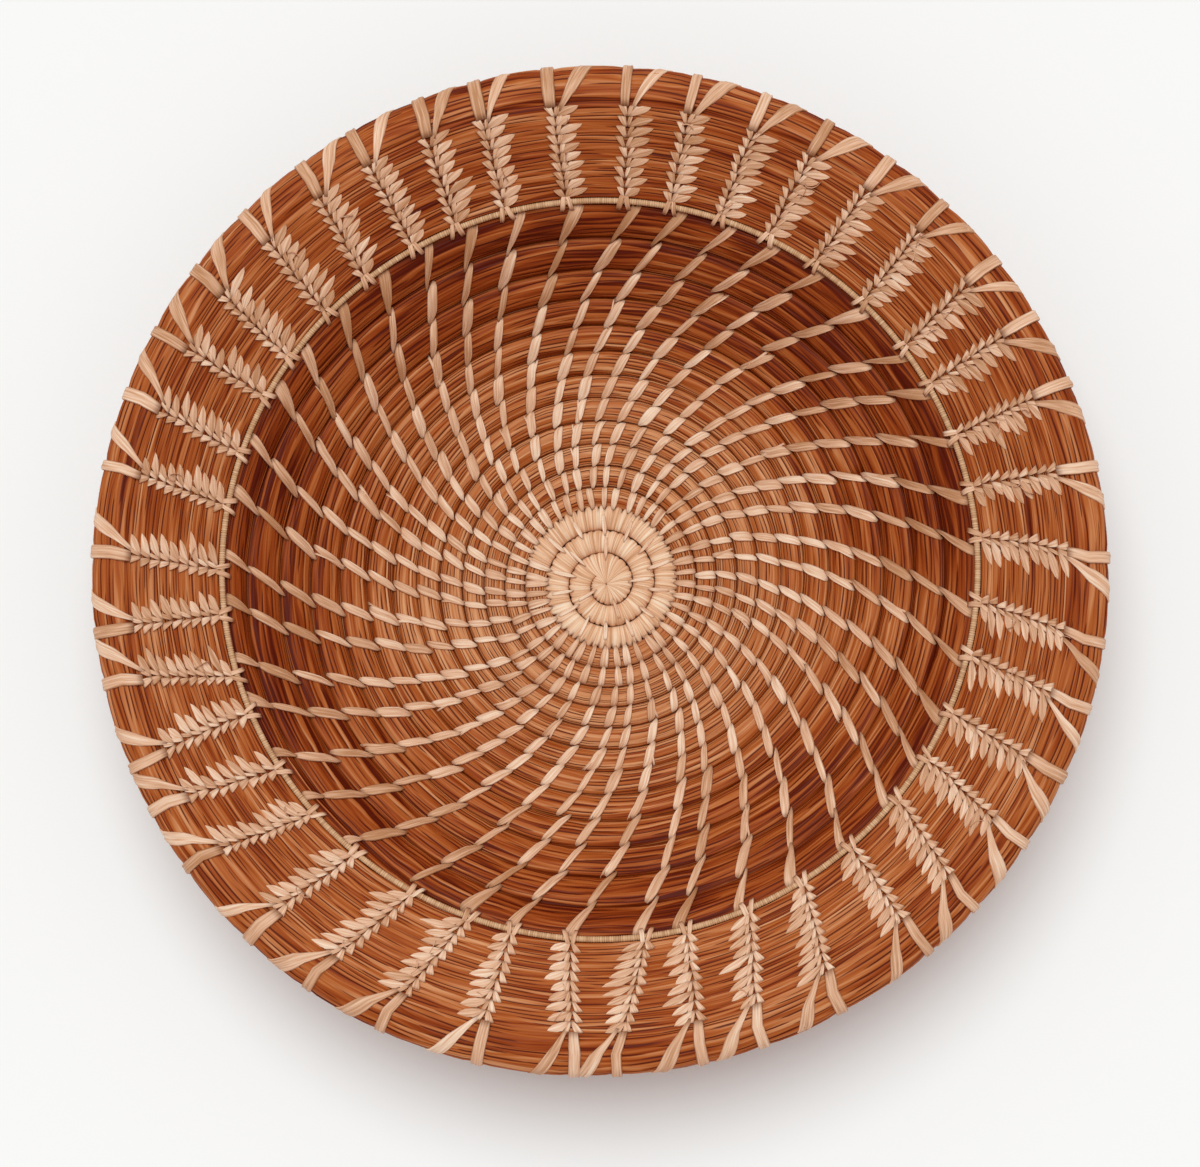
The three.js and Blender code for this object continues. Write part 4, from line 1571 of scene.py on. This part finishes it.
@dataclass(frozen=True)
class Studio:
    """A pale floor, soft light from behind and above, and the camera nearly over the basket."""

    view: tuple[float, float, float] = (0.048, -0.076, 1.0)
    axis_point: tuple[float, float, float] = (1.0, -5.1, 44.0)
    distance: float = 789.0
    lens: float = 90.0
    sensor: float = 36.0
    paper: str = "#F9F9F9"
    floor_paper: str = "#F8F8F8"
    floor_size: float = 6000.0
    fill: float = 0.515
    fill_colour: str = "#FFF1ED"
    key: float = 1.9
    key_colour: str = "#F1FEFF"
    key_width: float = math.radians(42)
    key_from: tuple[float, float, float] = (-0.04, 0.34, 1.0)

    def camera(self) -> None:
        """Sets up the camera with +Y up in the picture."""
        data = bpy.data.cameras.new("camera")
        data.lens, data.sensor_width, data.sensor_fit = self.lens, self.sensor, "HORIZONTAL"
        data.clip_start, data.clip_end = 0.05, 50
        camera = put_in_scene("camera", data)
        back = Vector(self.view).normalized()
        right = Vector((0, 1, 0)).cross(back).normalized()
        turned = Matrix((right, back.cross(right), back)).transposed().to_4x4()
        spot = (Vector(self.axis_point) + back * self.distance) * MM
        camera.matrix_world = Matrix.Translation(spot) @ turned
        bpy.context.scene.camera = camera

    def floor(self) -> None:
        """Lays the floor of matt white paper, whose dull white shows the basket's soft shadow."""
        shape = bmesh.new()
        bmesh.ops.create_grid(shape, x_segments=1, y_segments=1, size=self.floor_size)
        mesh = bpy.data.meshes.new("studio_floor")
        shape.to_mesh(mesh)
        shape.free()
        floor = new_piece(mesh)
        material = bpy.data.materials.new("matt_white_paper")
        material.use_nodes = True
        shader = material.node_tree.nodes["Principled BSDF"]
        shader.inputs["Base Color"].default_value = linear(self.floor_paper)
        shader.inputs["Roughness"].default_value = 0.9
        shader.inputs["Specular IOR Level"].default_value = 0.0
        floor.data.materials.append(material)
        floor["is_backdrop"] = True

    def lights(self) -> None:
        """Sets up the soft key light from behind and the even fill of the world."""
        lamp = bpy.data.lights.new("soft_key", "SUN")
        lamp.energy, lamp.angle, lamp.color = self.key, self.key_width, linear(self.key_colour)[:3]
        key = put_in_scene("soft_key", lamp)
        key.matrix_world = Vector(self.key_from).to_track_quat("Z", "Y").to_matrix().to_4x4()
        world = bpy.data.worlds.new("studio_air")
        world.use_nodes = True
        tree = world.node_tree
        backdrop = tree.nodes["Background"]
        # The camera sees an even backdrop in the world, and everything else gets the fill light from it.
        rays = add_node(tree, "LightPath").outputs
        seen = rays["Is Camera Ray"]
        for ray in ("Is Glossy Ray", "Is Transmission Ray"):
            seen = add_node(tree, "Math", {0: seen, 1: rays[ray]}, operation="MAXIMUM").outputs[0]
        level = add_node(tree, "MapRange", {"Value": seen, "To Min": self.fill, "To Max": 1.0})
        inputs = {"Factor": seen, 6: linear(self.fill_colour), 7: linear(self.paper)}
        colour = add_node(tree, "Mix", inputs, data_type="RGBA")
        tree.links.new(colour.outputs[2], backdrop.inputs["Color"])
        tree.links.new(level.outputs[0], backdrop.inputs["Strength"])
        bpy.context.scene.world = world

    def build(self) -> None:
        """Sets up the studio."""
        self.camera()
        self.floor()
        self.lights()
        bpy.context.scene.view_settings.view_transform = "Standard"


def report_sizes() -> None:
    """Logs how far the box of the dressed basket goes beyond the box of the model."""
    boxes = {"cad": [list(corner) for corner in CAD_BOX], "visual": [list(corner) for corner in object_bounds()]}
    beyond = [
        [round((boxes["visual"][end][axis] - boxes["cad"][end][axis]) / MM, 1) for axis in range(3)]
        for end in range(2)
    ]
    log.info("beyond the model's box, in mm: %s", beyond)


def main() -> None:
    """Builds the studio and the basket, part by part."""
    logging.basicConfig(level=logging.INFO, format="%(name)s: %(message)s")
    Studio().build()
    winding, lines = Winding(), Lines()
    # The bowl's needles are painted lighter on the floor, as light, and darker up the wall, as shade.
    NeedleCoil(winding, lines, DriedPineNeedles("dried_pine_needles_of_the_bowl", light_and_shade=(0.18, -0.2))).build()
    WrappedCentre(winding, WoundRaffia("wound_split_raffia")).build()
    # The rim's needles are painted darker, as shade, on the far side, whose slope faces away from the key light.
    rim_needles = DriedPineNeedles(
        "dried_pine_needles_of_the_rim",
        lit_spot=(0.0, -400.0),
        lit_reach=420.0,
        shaded_from=500.0,
        light_and_shade=(0.02, -0.05),
    )
    rim = Rim(winding, lines, rim_needles)
    rim.build()
    cord_stops = ((0.1, "#9A6C44"), (0.5, "#D2A47A"), (0.85, "#EECBA4"))
    RingCord(rim, WoundRaffia("fine_wound_raffia", stops=cord_stops)).build()
    raffia = SplitRaffia("split_raffia").build()
    for line in range(lines.count):
        StitchLine(winding, lines, rim, line).build(raffia)
    report_sizes()


if __name__ == "__main__":
    main()
